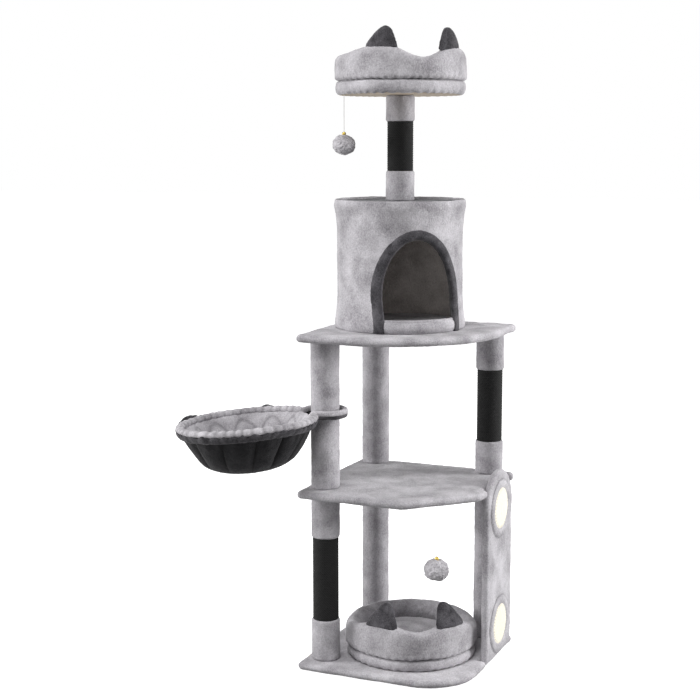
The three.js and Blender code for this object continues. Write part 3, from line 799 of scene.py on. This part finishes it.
def rim_mesh(nest, shrink):
    """The padded rim as a closed skin, drawn in all round by `shrink`, for the padding to fill."""
    columns = 180
    azimuths = np.linspace(0, 360, columns, endpoint=False)
    crests = crest_height(nest, azimuths)
    radius, bore, seam = nest["radius"], nest["bore"], nest["seam"] + GAP
    rows = []
    for azimuth, crest in zip(azimuths, crests):
        section = curve_through([
            [radius - 9, seam + 0.5], [radius - 2.5, seam + 5], [radius - shrink, seam + 18],
            [radius - 1 - shrink, (seam + crest) / 2 + 6], [radius - 3 - shrink, crest - 18],
            [radius - 11 - shrink, crest - 5 - shrink], [radius - 23, crest - shrink],
            [bore + 9 + shrink, crest - 8 - shrink], [bore + shrink, crest - 25],
            [bore + 2 + shrink, seam + 22], [bore + 7, seam + 1],
        ], 56)
        rows.append(rings(nest["centre"], section[:, 0], math.radians(azimuth), section[:, 1]))
    return make(nest["name"] + "_padded_rim", np.array(rows), loops(columns, 56, joined=True), LIGHT)


def base_mesh(nest):
    """The base cushion as a closed skin: a puffed disc, crowned where the cat lies."""
    radius, bore, low, seam, crown = (nest[key] for key in ("radius", "bore", "bottom", "seam", "crown"))
    profile = curve_through([
        [2, low + 0.6], [80, low + 0.6], [radius - 20, low + 0.6], [radius - 8.5, low + 4.5],
        [radius - 4.5, low + 14], [radius - 5, seam - 9], [radius - 10, seam - 1], [bore + 16, seam - 0.5],
        [bore + 1, seam + crown * 0.1], [bore - 3, seam + crown * 0.5], [bore - 16, seam + crown * 0.82],
        [60, seam + crown * 0.96], [2, seam + crown],
    ], 110, closed=False)
    columns = 150
    points = rings(nest["centre"], profile[:, :1], circle(columns), profile[:, 1:])
    return make(nest["name"] + "_cushion", points, capped(len(profile), columns), LIGHT, FELT)


def ear_mesh(nest, ear):
    """An ear: a stuffed triangle, its blunt tip off to one side. Its foot sinks into the curving rim."""
    side, offset, half_width, height, lean, foot, tip = ear
    rows, columns = 30, 44
    sunk = 14
    shape = curve_through([
        [half_width * 1.0, -sunk], [half_width * 0.96, 0], [half_width * 0.75, height * 0.36],
        [half_width * 0.49, height * 0.74], [half_width * 0.26, height * 0.97], [0.6, height + 3],
    ], rows, closed=False)
    turns = circle(columns)
    up = np.linspace(0, 1, rows)
    thick = 9.5 * np.sqrt(np.clip(1 - up**5, 0.004, 1))
    across = shape[:, :1] * np.sign(np.cos(turns)) * np.abs(np.cos(turns)) ** 0.9
    across = across + tip * half_width * np.clip(shape[:, 1:] / height, 0, 1)
    deep = thick[:, None] * np.sin(turns)
    high = np.broadcast_to(shape[:, 1:], across.shape)
    deep = deep + across**2 / (2 * nest["radius"])
    tilt = math.radians(lean)
    radial = nest["radius"] - 20 - deep * math.cos(tilt) - high * math.sin(tilt)
    level = foot + high * math.cos(tilt) - deep * math.sin(tilt)
    angle = math.radians(nest["facing"] + offset)
    ahead, aside = np.array([math.cos(angle), math.sin(angle)]), np.array([-math.sin(angle), math.cos(angle)])
    plan = nest["centre"] + radial[..., None] * ahead + across[..., None] * aside
    points = np.concatenate([plan, level[..., None]], -1)
    return make(f"{nest['name']}_plush_{side}_ear", points, capped(rows, columns), DARK)


CLOTH = {
    "quality": 6, "mass": 0.25, "use_pressure": True, "tension_stiffness": 12, "compression_stiffness": 6,
    "bending_stiffness": 0.15, "vertex_group_mass": "held",
}
LAST_MOMENT = 20
simulated = []


def start_padding(piece, voxel, cap, pressure, held):
    """Gets a padded piece ready to be blown up as cloth. `held` picks the points that stay."""
    remesh(piece, voxel)
    rest = points_of(piece)
    group = piece.vertex_groups.new(name="held")
    group.add(np.nonzero(held(rest))[0].tolist(), 1.0, "REPLACE")
    modifier = piece.modifiers.new("cloth", "CLOTH")
    for key, value in CLOTH.items():
        setattr(modifier.settings, key, value)
    modifier.settings.uniform_pressure_force = pressure
    modifier.settings.effector_weights.gravity = 0
    modifier.point_cache.frame_start = 1
    modifier.point_cache.frame_end = LAST_MOMENT
    simulated.append((piece, rest, cap))


def finish_padding():
    """Runs every waiting cloth simulation together, and keeps each point within its piece's cap."""
    if simulated:
        for moment in range(1, LAST_MOMENT + 1):
            scene.frame_set(moment)
    for piece, rest, cap in simulated:
        graph = bpy.context.evaluated_depsgraph_get()
        blown = bpy.data.meshes.new_from_object(piece.evaluated_get(graph))
        piece.modifiers.clear()
        piece.vertex_groups.clear()
        piece.data = blown
        move = points_of(piece) - rest
        far = np.linalg.norm(move, axis=1)
        put(piece, rest + move * np.minimum(1, cap / np.maximum(far, 1e-6))[:, None])
    simulated.clear()
    scene.frame_set(1)


def finish_rim(nest, nest_rim):
    """Gathers the rim where it is sewn to the base, and gives it its pile."""
    seed = nest["seed"]
    points = points_of(nest_rim)
    off = points[:, :2] - nest["centre"]
    azimuth = np.arctan2(off[:, 1], off[:, 0])
    low_part = np.exp(-((points[:, 2] - nest["seam"]) / 13) ** 2)
    gathers = np.cos(azimuth * 52 + 2.2 * wander(points, 60.0, seed + 9))
    put(nest_rim, points + normals_of(nest_rim) * (0.9 * low_part * gathers)[:, None])
    pile(nest_rim, seed, depth=1.0, swell=1.5)
    place(nest_rim, nest["body"], "light_plush", nest["name"] + "_rim")


def finish_base(nest, nest_base):
    """Puckers the base cushion's lower edge, where the ragged felt underneath is sewn on."""
    seed = nest["seed"]
    points = points_of(nest_base)
    off = points[:, :2] - nest["centre"]
    azimuth = np.arctan2(off[:, 1], off[:, 0])
    radius = np.linalg.norm(off, axis=1)
    rim_part = np.clip((radius - nest["radius"] + 30) / 20, 0, 1)
    low_edge = rim_part * np.exp(-((points[:, 2] - nest["bottom"]) / 7) ** 2)
    puckers = np.cos(azimuth * 40 + 3 * wander(points, 55.0, seed + 19))
    put(nest_base, points + normals_of(nest_base) * (1.3 * low_edge * puckers)[:, None])
    plushed = np.where(points[:, 2] > nest["bottom"] + 3, 1.0, 0.15)
    pile(nest_base, seed + 30, depth=0.9, swell=1.0, where=plushed)
    faces = nest_base.data.polygons
    middles = read(faces, "center") / MM
    out = middles[:, :2] - nest["centre"]
    ragged = nest["radius"] - 15 + 2.5 * np.cos(40 * np.arctan2(out[:, 1], out[:, 0]))
    under = (middles[:, 2] < nest["bottom"] + 3.5) & (np.linalg.norm(out, axis=1) < ragged)
    faces.foreach_set("material_index", under.astype(np.int32))
    place(nest_base, nest["body"], "light_plush", nest["name"] + "_base")


nest_pieces = []
for nest in (PERCH, BED):
    nest_rim = rim_mesh(nest, 2.5)
    nest_base = base_mesh(nest)
    start_padding(nest_rim, 5.0, 5.0, 4.0, lambda p, s=nest["seam"]: p[:, 2] < s + 4)
    start_padding(nest_base, 5.0, 3.0, 3.0, lambda p, s=nest["seam"], b=nest["bottom"]: (p[:, 2] < b + 3)
                  | (np.abs(p[:, 2] - s) < 2.5))
    nest_ears = [ear_mesh(nest, ear) for ear in nest["ears"]]
    for nest_ear in nest_ears:
        start_padding(nest_ear, 3.5, 3.0, 3.0, lambda p, s=nest["ears"][0][5]: p[:, 2] < s - 4)
    nest_pieces.append((nest, nest_rim, nest_base, nest_ears))
finish_padding()

for nest, nest_rim, nest_base, nest_ears in nest_pieces:
    for piece in (nest_rim, nest_base, *nest_ears):
        modify(piece, "SUBSURF", levels=1, render_levels=1)
    finish_rim(nest, nest_rim)
    finish_base(nest, nest_base)
    for nest_ear, ear in zip(nest_ears, nest["ears"]):
        pile(nest_ear, nest["seed"] + 50, depth=0.9, swell=1.2)
        place(nest_ear, nest["body"], "dark_plush", f"{nest['name']}_{ear[0]}_ear")


# ---- Scratching panel

PAD_NODES = ("scratch_pad_upper", "scratch_pad_lower")
RING_INNER, RING_OUTER = 53.0, 77.0


def add_panel():
    """The arched board's plush cover, with a padded ring raised round each pad."""
    low, high = PANEL_LOW, PANEL_HIGH
    half, middle = (high[1] - low[1]) / 2, (high[1] + low[1]) / 2
    arch = np.linspace(0, math.pi, 48)
    over = np.column_stack([middle + half * np.cos(arch), high[2] - half + half * np.sin(arch)])
    outline = np.concatenate([[[low[1], low[2]], [high[1], low[2]]], over])
    panel = slab("panel_cover", outline, low[0], high[0], 7.0, LIGHT)
    points = points_of(panel)[:, [2, 0, 1]]
    outer = np.clip((points[:, 0] - (low[0] + high[0]) / 2) / 5, 0, 1)
    seams = np.full(len(points), 99.0)
    raised = np.zeros(len(points))
    for node in PAD_NODES:
        pad_low, pad_high = span(node)
        pad_centre = (pad_low[1:] + pad_high[1:]) / 2
        away = np.linalg.norm(points[:, 1:] - pad_centre, axis=1)
        share = np.clip((away - RING_INNER) / (RING_OUTER - RING_INNER), 0, 1)
        round_over = np.sqrt(np.clip(1 - (2 * share - 1) ** 2, 0, 1))
        raised = np.maximum(raised, 4.6 * round_over * (away > RING_INNER))
        seams = np.minimum(seams, np.abs(away - RING_OUTER - 1))
    points[:, 0] += outer * raised
    put(panel, points)
    smooth(panel, 1)
    pile(panel, 601, depth=0.9, swell=1.1)
    stitches = seams + np.where(outer > 0.3, 0, 99)
    groove(panel, stitches, 1.7, 1.8, 0.75)
    place(panel, "stand", "light_plush", "scratch_panel")


def add_pad(node):
    """A disc of woven sisal in its ring, its edge caught by short dark stitches."""
    low, high = span(node)
    centre = (low[1:] + high[1:]) / 2
    radius = (high[1] - low[1]) / 2
    face = low[0] + 2.6
    rows = np.linspace(0, 1, 34)
    columns = 190
    angles = circle(columns)
    reach = np.outer(1 - rows, np.ones(columns)) * (radius + 1.5)
    reach[0] *= 1 + 0.006 * np.cos(40 * angles)
    front = np.empty((len(rows), columns, 3))
    front[..., 1] = centre[0] + np.maximum(reach, 0.8) * np.cos(angles)
    front[..., 2] = centre[1] + np.maximum(reach, 0.8) * np.sin(angles)
    threads = 0.35 * np.abs(np.sin(front[..., 1] * math.pi / 3.4) * np.sin(front[..., 2] * math.pi / 3.4))
    front[..., 0] = face + threads - 1.6 * np.exp(-((radius + 1.5 - reach) / 4))
    back = front[:1].copy()
    back[..., 0] = low[0] - 0.2
    middle = back.copy()
    middle[..., 1:] = centre + (back[..., 1:] - centre) * 0.02
    points = np.concatenate([middle, back, front])
    pad = make(node + "_disc", points, capped(len(points), columns), CREAM)
    rim = np.linalg.norm(points_of(pad)[:, 1:] - centre, axis=1)
    turn = np.arctan2(points_of(pad)[:, 2] - centre[1], points_of(pad)[:, 1] - centre[0])
    stitched = np.exp(-(((rim - radius + 3.0) / 2.2) ** 2)) * (np.cos(turn * 36) > 0.45)
    mark_seam_and_painted_shade(pad, 0.6 * stitched * (points_of(pad)[:, 0] > low[0] + 0.4))
    place(pad, "stand", "cream_rope", node)


add_panel()
for pad_node in PAD_NODES:
    add_pad(pad_node)


# ---- Hammock

HOOP_CENTRE = np.array([-312.2, -313.7])
HOOP_RADIUS, LOOP_RADIUS, NECK_RADIUS = 168.0, 52.0, 8.0
HOOP_HEIGHT, LOOP_HEIGHT = 668.3, 679.0
SLOPE = np.array([0.0928, 0.0191])
BASKET_DEPTH = 112.0
DRIFT = -8.0
TOWARDS_POST = math.atan2(*(FRONT_LEFT - HOOP_CENTRE)[::-1])
POST_DISTANCE = float(np.linalg.norm(FRONT_LEFT - HOOP_CENTRE))


def hoop_height(plan):
    """The hoop's height over a place: level round the post, then sloping down away from it."""
    return np.minimum(HOOP_HEIGHT + (plan - HOOP_CENTRE) @ SLOPE, LOOP_HEIGHT)


def hoop_line(count):
    """Points round the hoop in plan, their outward directions, and how much of the basket hangs at each.
    Two small arcs that bend the other way join the arc round the basket to the arc round the post."""
    big, small, apart = HOOP_RADIUS + NECK_RADIUS, LOOP_RADIUS + NECK_RADIUS, POST_DISTANCE
    at_basket = math.acos((big**2 + apart**2 - small**2) / (2 * big * apart))
    at_post = math.acos((small**2 + apart**2 - big**2) / (2 * small * apart))

    def arc(middle, radius, start, end, steps):
        turn = TOWARDS_POST + np.linspace(start, end, steps, endpoint=False)
        return middle + radius * np.column_stack([np.cos(turn), np.sin(turn)])

    def neck(side, start, end):
        turn = TOWARDS_POST + side * at_basket
        middle = HOOP_CENTRE + big * np.array([math.cos(turn), math.sin(turn)])
        return arc(middle, NECK_RADIUS, start, end, 16)

    line = np.concatenate([
        arc(HOOP_CENTRE, HOOP_RADIUS, at_basket, 2 * math.pi - at_basket, 240),
        neck(-1, math.pi - at_basket, at_post),
        arc(FRONT_LEFT, LOOP_RADIUS, at_post - math.pi, math.pi - at_post, 90),
        neck(1, -at_post, at_basket - math.pi),
    ])
    closed = np.concatenate([line, line[:1]])
    along = np.concatenate([[0], np.cumsum(np.linalg.norm(np.diff(closed, axis=0), axis=1))])
    wanted = np.linspace(0, along[-1], count, endpoint=False)
    plan = np.column_stack([np.interp(wanted, along, closed[:, axis]) for axis in range(2)])
    ahead = np.roll(plan, -4, axis=0) - np.roll(plan, 4, axis=0)
    outwards = np.column_stack([ahead[:, 1], -ahead[:, 0]]) / np.linalg.norm(ahead, axis=1)[:, None]
    share = np.clip((np.linalg.norm(plan - FRONT_LEFT, axis=1) - 55) / 22, 0, 1)
    return plan, outwards, share * share * (3 - 2 * share), wanted, along[-1]


def add_hem(name, material, slot, sections, seed, ruffle, flares=()):
    """A strip of cloth all round the hoop. sections are two closed outlines [out, up]: at loop and basket.
    flares are the directions, widths and heights at which its outer edge stands up."""
    count = 520
    plan, outwards, share, along, _ = hoop_line(count)
    loop, basket = (curve_through(section, 30) for section in sections)
    section = loop[None] * (1 - share)[:, None, None] + basket[None] * share[:, None, None]
    flat = np.column_stack([plan, np.zeros(count)])
    off = plan - HOOP_CENTRE
    direction = np.degrees(np.arctan2(off[:, 1], off[:, 0]))
    nearness = []
    for heading, width, _ in flares:
        away = (direction - heading + 180) % 360 - 180
        nearness.append(np.exp(-((away / width) ** 2)))
    share_waved = share * (1 - np.clip(sum(nearness), 0, 1) if flares else 1)
    waves = np.cos(2 * math.pi * along / 24.0 + 5.5 * wander(flat, 60.0, seed))
    crimp = 0.5 + 0.6 * wander(flat, 34.0, seed + 4)
    swell = 1 + ruffle * (share_waved * waves * (0.3 + 0.9 * crimp))[:, None, None]
    middle = section.mean(axis=1, keepdims=True)
    section = middle + (section - middle) * swell
    for near, (_, _, height) in zip(nearness, flares):
        outer = np.clip(section[..., 0] / 6, 0, 1)
        section[..., 1] += height * near[:, None] * outer
        section[..., 0] += 5 * near[:, None] * outer
    lift = 6.0 * share_waved * waves * ruffle
    points = np.empty((count, 30, 3))
    points[..., :2] = plan[:, None, :] + section[..., :1] * outwards[:, None, :]
    points[..., 2] = hoop_height(plan)[:, None] + section[..., 1] + lift[:, None]
    hem = make(name, points, loops(count, 30, joined=True), material)
    pile(hem, seed, depth=1.0, swell=0.8)
    place(hem, "hammock", slot)
    # Painted shade in the troughs of the ruffle.
    painted_crease_shade = np.repeat(np.clip(-waves * share_waved, 0, 1), 30) * 0.35
    mark_seam_and_painted_shade(hem, painted_crease_shade)
    return hem


def puffs(share, warp, strength):
    """How far the outside stands out and how much painted shade darkens its creases: broad puffs, gathered at
    both ends.
    """
    lobes = np.abs(np.sin(warp[None, :] * 6.5 + 0.9 * share)) ** 0.6
    middle = np.sin(math.pi * np.clip(share / 0.92, 0, 1)) ** 0.7
    top = np.exp(-((share / 0.16) ** 2))
    out = 17 * strength[None, :] * (lobes - 0.62) * (0.85 * middle + 0.25 * top)
    out = out + 1.4 * np.cos(warp * 33)[None, :] * np.exp(-((share / 0.3) ** 2))
    return out, 1.9 * middle * np.clip(0.62 - lobes, 0, 1)


def petals(share, warp, strength):
    """The same for the lining: a gathered band under the rim, a seam, and big soft folds that rise to it,
    with painted shade along the line where the folds begin and in the valleys between them.
    """
    lobes = np.abs(np.sin(warp[None, :] * 6.5 + 0.5 * share))
    fold_top = 0.1 + 0.34 * (1 - lobes) ** 0.9 + 0.05 * strength[None, :]
    begun = np.clip((share - fold_top) / 0.16, 0, 1)
    begun = begun * begun * (3 - 2 * begun)
    out = -(2 + 17 * strength[None, :] * lobes) * begun * np.sqrt(np.clip(1 - share, 0, 1))
    out = out + 1.2 * np.cos(warp * 37)[None, :] * np.exp(-((share / 0.2) ** 2))
    # Painted shade along the line where each fold begins, and in the valleys between folds.
    painted_fold_shade = 0.4 * np.exp(-(((share - fold_top) / 0.05) ** 2)) + 1.4 * begun * np.clip(0.6 - lobes, 0, 1)
    return out, painted_fold_shade


def add_basket(name, material, slot, profile, hang, depth, seed, relief):
    """One layer of the basket: rows of points from its edge to its bottom, folded, then given thickness.
    profile is [share of the depth, radius at that share]. Its edge hangs this far under the hoop."""
    rows, columns = 76, 480
    turns = circle(columns)
    line = curve_through(profile, rows, closed=False)
    share, radius = line[:, :1], line[:, 1:]
    ring = 100 * np.column_stack([np.cos(turns), np.sin(turns), np.zeros(columns)])
    warp = turns + 0.16 * wander(ring, 60.0, seed) + 0.05 * wander(ring, 22.0, seed + 1)
    strength = 0.65 + 0.5 * wander(ring, 40.0, seed + 2)
    out, painted_fold_shade = relief(share, warp, strength)
    reach = radius + out
    back = np.array([math.cos(TOWARDS_POST), math.sin(TOWARDS_POST)])
    centre = HOOP_CENTRE - DRIFT * share[..., None] * back
    points = np.empty((rows, columns, 3))
    points[..., :2] = centre + reach[..., None] * np.stack([np.cos(turns), np.sin(turns)], -1)
    points[..., 2] = hoop_height(points[..., :2]) - hang - depth * share
    floor = list(range((rows - 1) * columns, rows * columns))
    layer = make(name, points, loops(rows, columns) + [floor], material)
    modify(layer, "SOLIDIFY", thickness=3 * MM, offset=0)
    # Painted shade in the creases and fold valleys of this layer.
    shade = np.clip(painted_fold_shade, 0, 1).ravel()
    mark_seam_and_painted_shade(layer, np.concatenate([shade, shade]))
    pile(layer, seed, depth=0.8, swell=1.0)
    place(layer, "hammock", slot)
    return layer


OUTSIDE = [[0, 164], [0.12, 159], [0.32, 148], [0.55, 133], [0.78, 114], [0.92, 89], [0.985, 56], [1, 12]]
INSIDE = [
    [0, 163], [0.1, 153], [0.2, 146], [0.34, 139], [0.56, 122], [0.78, 96], [0.92, 70], [0.985, 44], [1, 12],
]
RIM_SECTIONS = (
    [[6.5, -3], [7, 3], [5, 8], [0, 9.5], [-5, 8], [-6.5, 2], [-6, -3], [0, -4.5]],
    [[9, -3], [10.5, 3], [7, 8.5], [0, 10.5], [-7, 8.5], [-10.5, 2], [-8, -4.5], [0, -6.5]],
)
BAND_SECTIONS = (
    [[6, -3], [6.4, -8], [5, -12], [0, -13], [-5, -12], [-6, -8], [-5.5, -3], [0, -2]],
    [[8.5, -3], [8, -11], [3, -19], [-4, -22], [-9, -20], [-7, -14], [-4, -8], [0, -4]],
)
FLARES = ((176, 20, 19), (101, 9, 16))
outside = add_basket("hammock_outside", BLACK, "dark_plush", OUTSIDE, 8, BASKET_DEPTH, 711, puffs)
inside = add_basket("hammock_lining", LIGHT, "light_plush", INSIDE, 1, BASKET_DEPTH, 721, petals)
rim_roll = add_hem("hammock_rim", LIGHT, "light_plush", RIM_SECTIONS, 731, 0.07)
band = add_hem("hammock_band", DARK, "dark_plush", BAND_SECTIONS, 741, 0.3, FLARES)
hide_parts("hammock_basket")


# ---- Toys

def add_ball(toy, seed, lumps):
    """A pompom: a squashed ball of pile with a dent for the bell."""
    low, high = span(toy + "_ball")
    centre, half = (low + high) / 2, (high - low) / 2
    ball = bmesh.new()
    bmesh.ops.create_icosphere(ball, subdivisions=6, radius=1.0)
    mesh = bpy.data.meshes.new(toy + "_pompom")
    ball.to_mesh(mesh)
    ball.free()
    mesh.shade_smooth()
    mesh.materials.append(LIGHT)
    pompom = add_object(toy + "_pompom", mesh)
    rays = points_of(pompom) * MM
    points = centre + rays * (half - 1.2)
    tufts = 1.5 * wander(points, 3.4, seed) + 1.2 * wander(points, 8.0, seed + 1)
    tufts = tufts + lumps * wander(points, 19.0, seed + 2)
    bell = (span(toy + "_bell")[0] + span(toy + "_bell")[1]) / 2
    dent = np.exp(-((np.linalg.norm(points - bell, axis=1) / 7) ** 2))
    points += rays * (tufts - 4.0 * dent)[:, None]
    put(pompom, points)
    # Painted shade in the hollows between the tufts.
    mark_seam_and_painted_shade(pompom, 0.25 * np.clip(-wander(points, 8.0, seed + 1), 0, 1))
    place(pompom, toy, "light_plush", toy + "_ball")


def add_bell(toy):
    """A small round bell with a cross-cut mouth below."""
    low, high = span(toy + "_bell")
    centre, radius = (low + high) / 2, (high[2] - low[2]) / 2
    rows, columns = 26, 40
    polar = np.linspace(0.03, math.pi - 0.03, rows)[:, None]
    turn = circle(columns)
    across = np.minimum(np.abs(np.sin(turn)), np.abs(np.cos(turn))) * np.sin(polar)
    slot = np.where((polar > 0.58 * math.pi) & (across < 0.12), 0.16, 0)
    waist = 0.05 * np.exp(-(((polar - math.pi / 2) / 0.09) ** 2))
    reach = radius * (0.95 - slot + waist)
    points = rings(centre, reach * np.sin(polar), turn, centre[2] + reach * np.cos(polar))
    bell = make(toy + "_brass_bell", points, capped(rows, columns), BRASS)
    place(bell, toy, "brass", toy + "_bell")
    return bell


def add_string(toy, knotted):
    low, high = span(toy + "_string")
    x, y = (low[:2] + high[:2]) / 2
    top, foot = high[2], low[2]
    heights = np.linspace(top, foot, 16)
    curve = bpy.data.curves.new(toy + "_cord", "CURVE")
    curve.dimensions = "3D"
    curve.bevel_depth = 0.6 * MM
    curve.bevel_resolution = 3
    curve.use_fill_caps = True
    spline = curve.splines.new("POLY")
    spline.points.add(len(heights) - 1)
    for point, height in zip(spline.points, heights):
        point.co = (x * MM, y * MM, height * MM, 1)
    curve.materials.append(STRING)
    string = add_object(toy + "_cotton_string", curve)
    place(string, toy + "_cord", "string", toy + "_string")


for toy_name, toy_seed, toy_lumps in (("perch_toy", 801, 1.0), ("shelf_toy", 831, 2.6)):
    add_ball(toy_name, toy_seed, toy_lumps)
    add_string(toy_name, [add_bell(toy_name)])


# ---- Floor and light

def add_floor():
    mesh = bpy.data.meshes.new("floor")
    reach = 30.0
    level = -0.0005
    corners = [(x * reach, y * reach, level) for x, y in ((-1, -1), (1, -1), (1, 1), (-1, 1))]
    mesh.from_pydata(corners, [], [(0, 1, 2, 3)])
    material, tree, where = new_material("studio_floor")
    shader = tree.nodes["Principled BSDF"]
    tone = ramp(tree, noise(tree, where, 900.0), (0.3, (0.74, 0.74, 0.74)), (0.7, (0.77, 0.77, 0.77)))
    tree.links.new(tone, shader.inputs["Base Color"])
    for key, value in {"Roughness": 0.9, "Emission Color": (1, 1, 1, 1), "Emission Strength": 0.78}.items():
        shader.inputs[key].default_value = value
    mesh.materials.append(material)
    floor = add_object("floor", mesh)
    floor.visible_diffuse = False


def add_lamp(name, place_at, target, size, power):
    lamp = bpy.data.lights.new(name, "AREA")
    lamp.shape = "DISK"
    lamp.size = size
    lamp.energy = power
    lamp_object = add_object(name, lamp)
    lamp_object.location = place_at
    direction = np.array(target) - np.array(place_at)
    turn = math.atan2(direction[1], direction[0]) - math.pi / 2
    tip = math.acos(-direction[2] / np.linalg.norm(direction))
    lamp_object.rotation_euler = (tip, 0, turn)
    lamp_object.visible_camera = False


def add_world(lighting):
    """White to look at, but dimmer as a light, so that the lamps shape the object."""
    world = bpy.data.worlds.new("studio")
    scene.world = world
    world.use_nodes = True
    tree = world.node_tree
    seen = tree.nodes.new("ShaderNodeLightPath").outputs["Is Camera Ray"]
    strength = math_node(tree, "MULTIPLY_ADD", seen, 1 - lighting, lighting)
    tree.links.new(strength, tree.nodes["Background"].inputs["Strength"])
    tree.nodes["Background"].inputs["Color"].default_value = (1, 1, 1, 1)


add_world(0.32)
add_floor()
add_lamp("right_softbox", (3.2, 1.5, 1.2), (0, 0, 0.7), 1.8, 152)
add_lamp("left_softbox", (-3.1, -1.2, 1.2), (0, 0, 0.6), 1.8, 94)
add_lamp("overhead", (0.6, -3.5, 6.6), (0, 0, 0.4), 3.4, 335)
add_lamp("front_fill", (0.3, -3.8, 1.2), (0, 0, 0.5), 1.8, 7)
scene.view_settings.view_transform = "Standard"
scene.view_settings.look = "None"
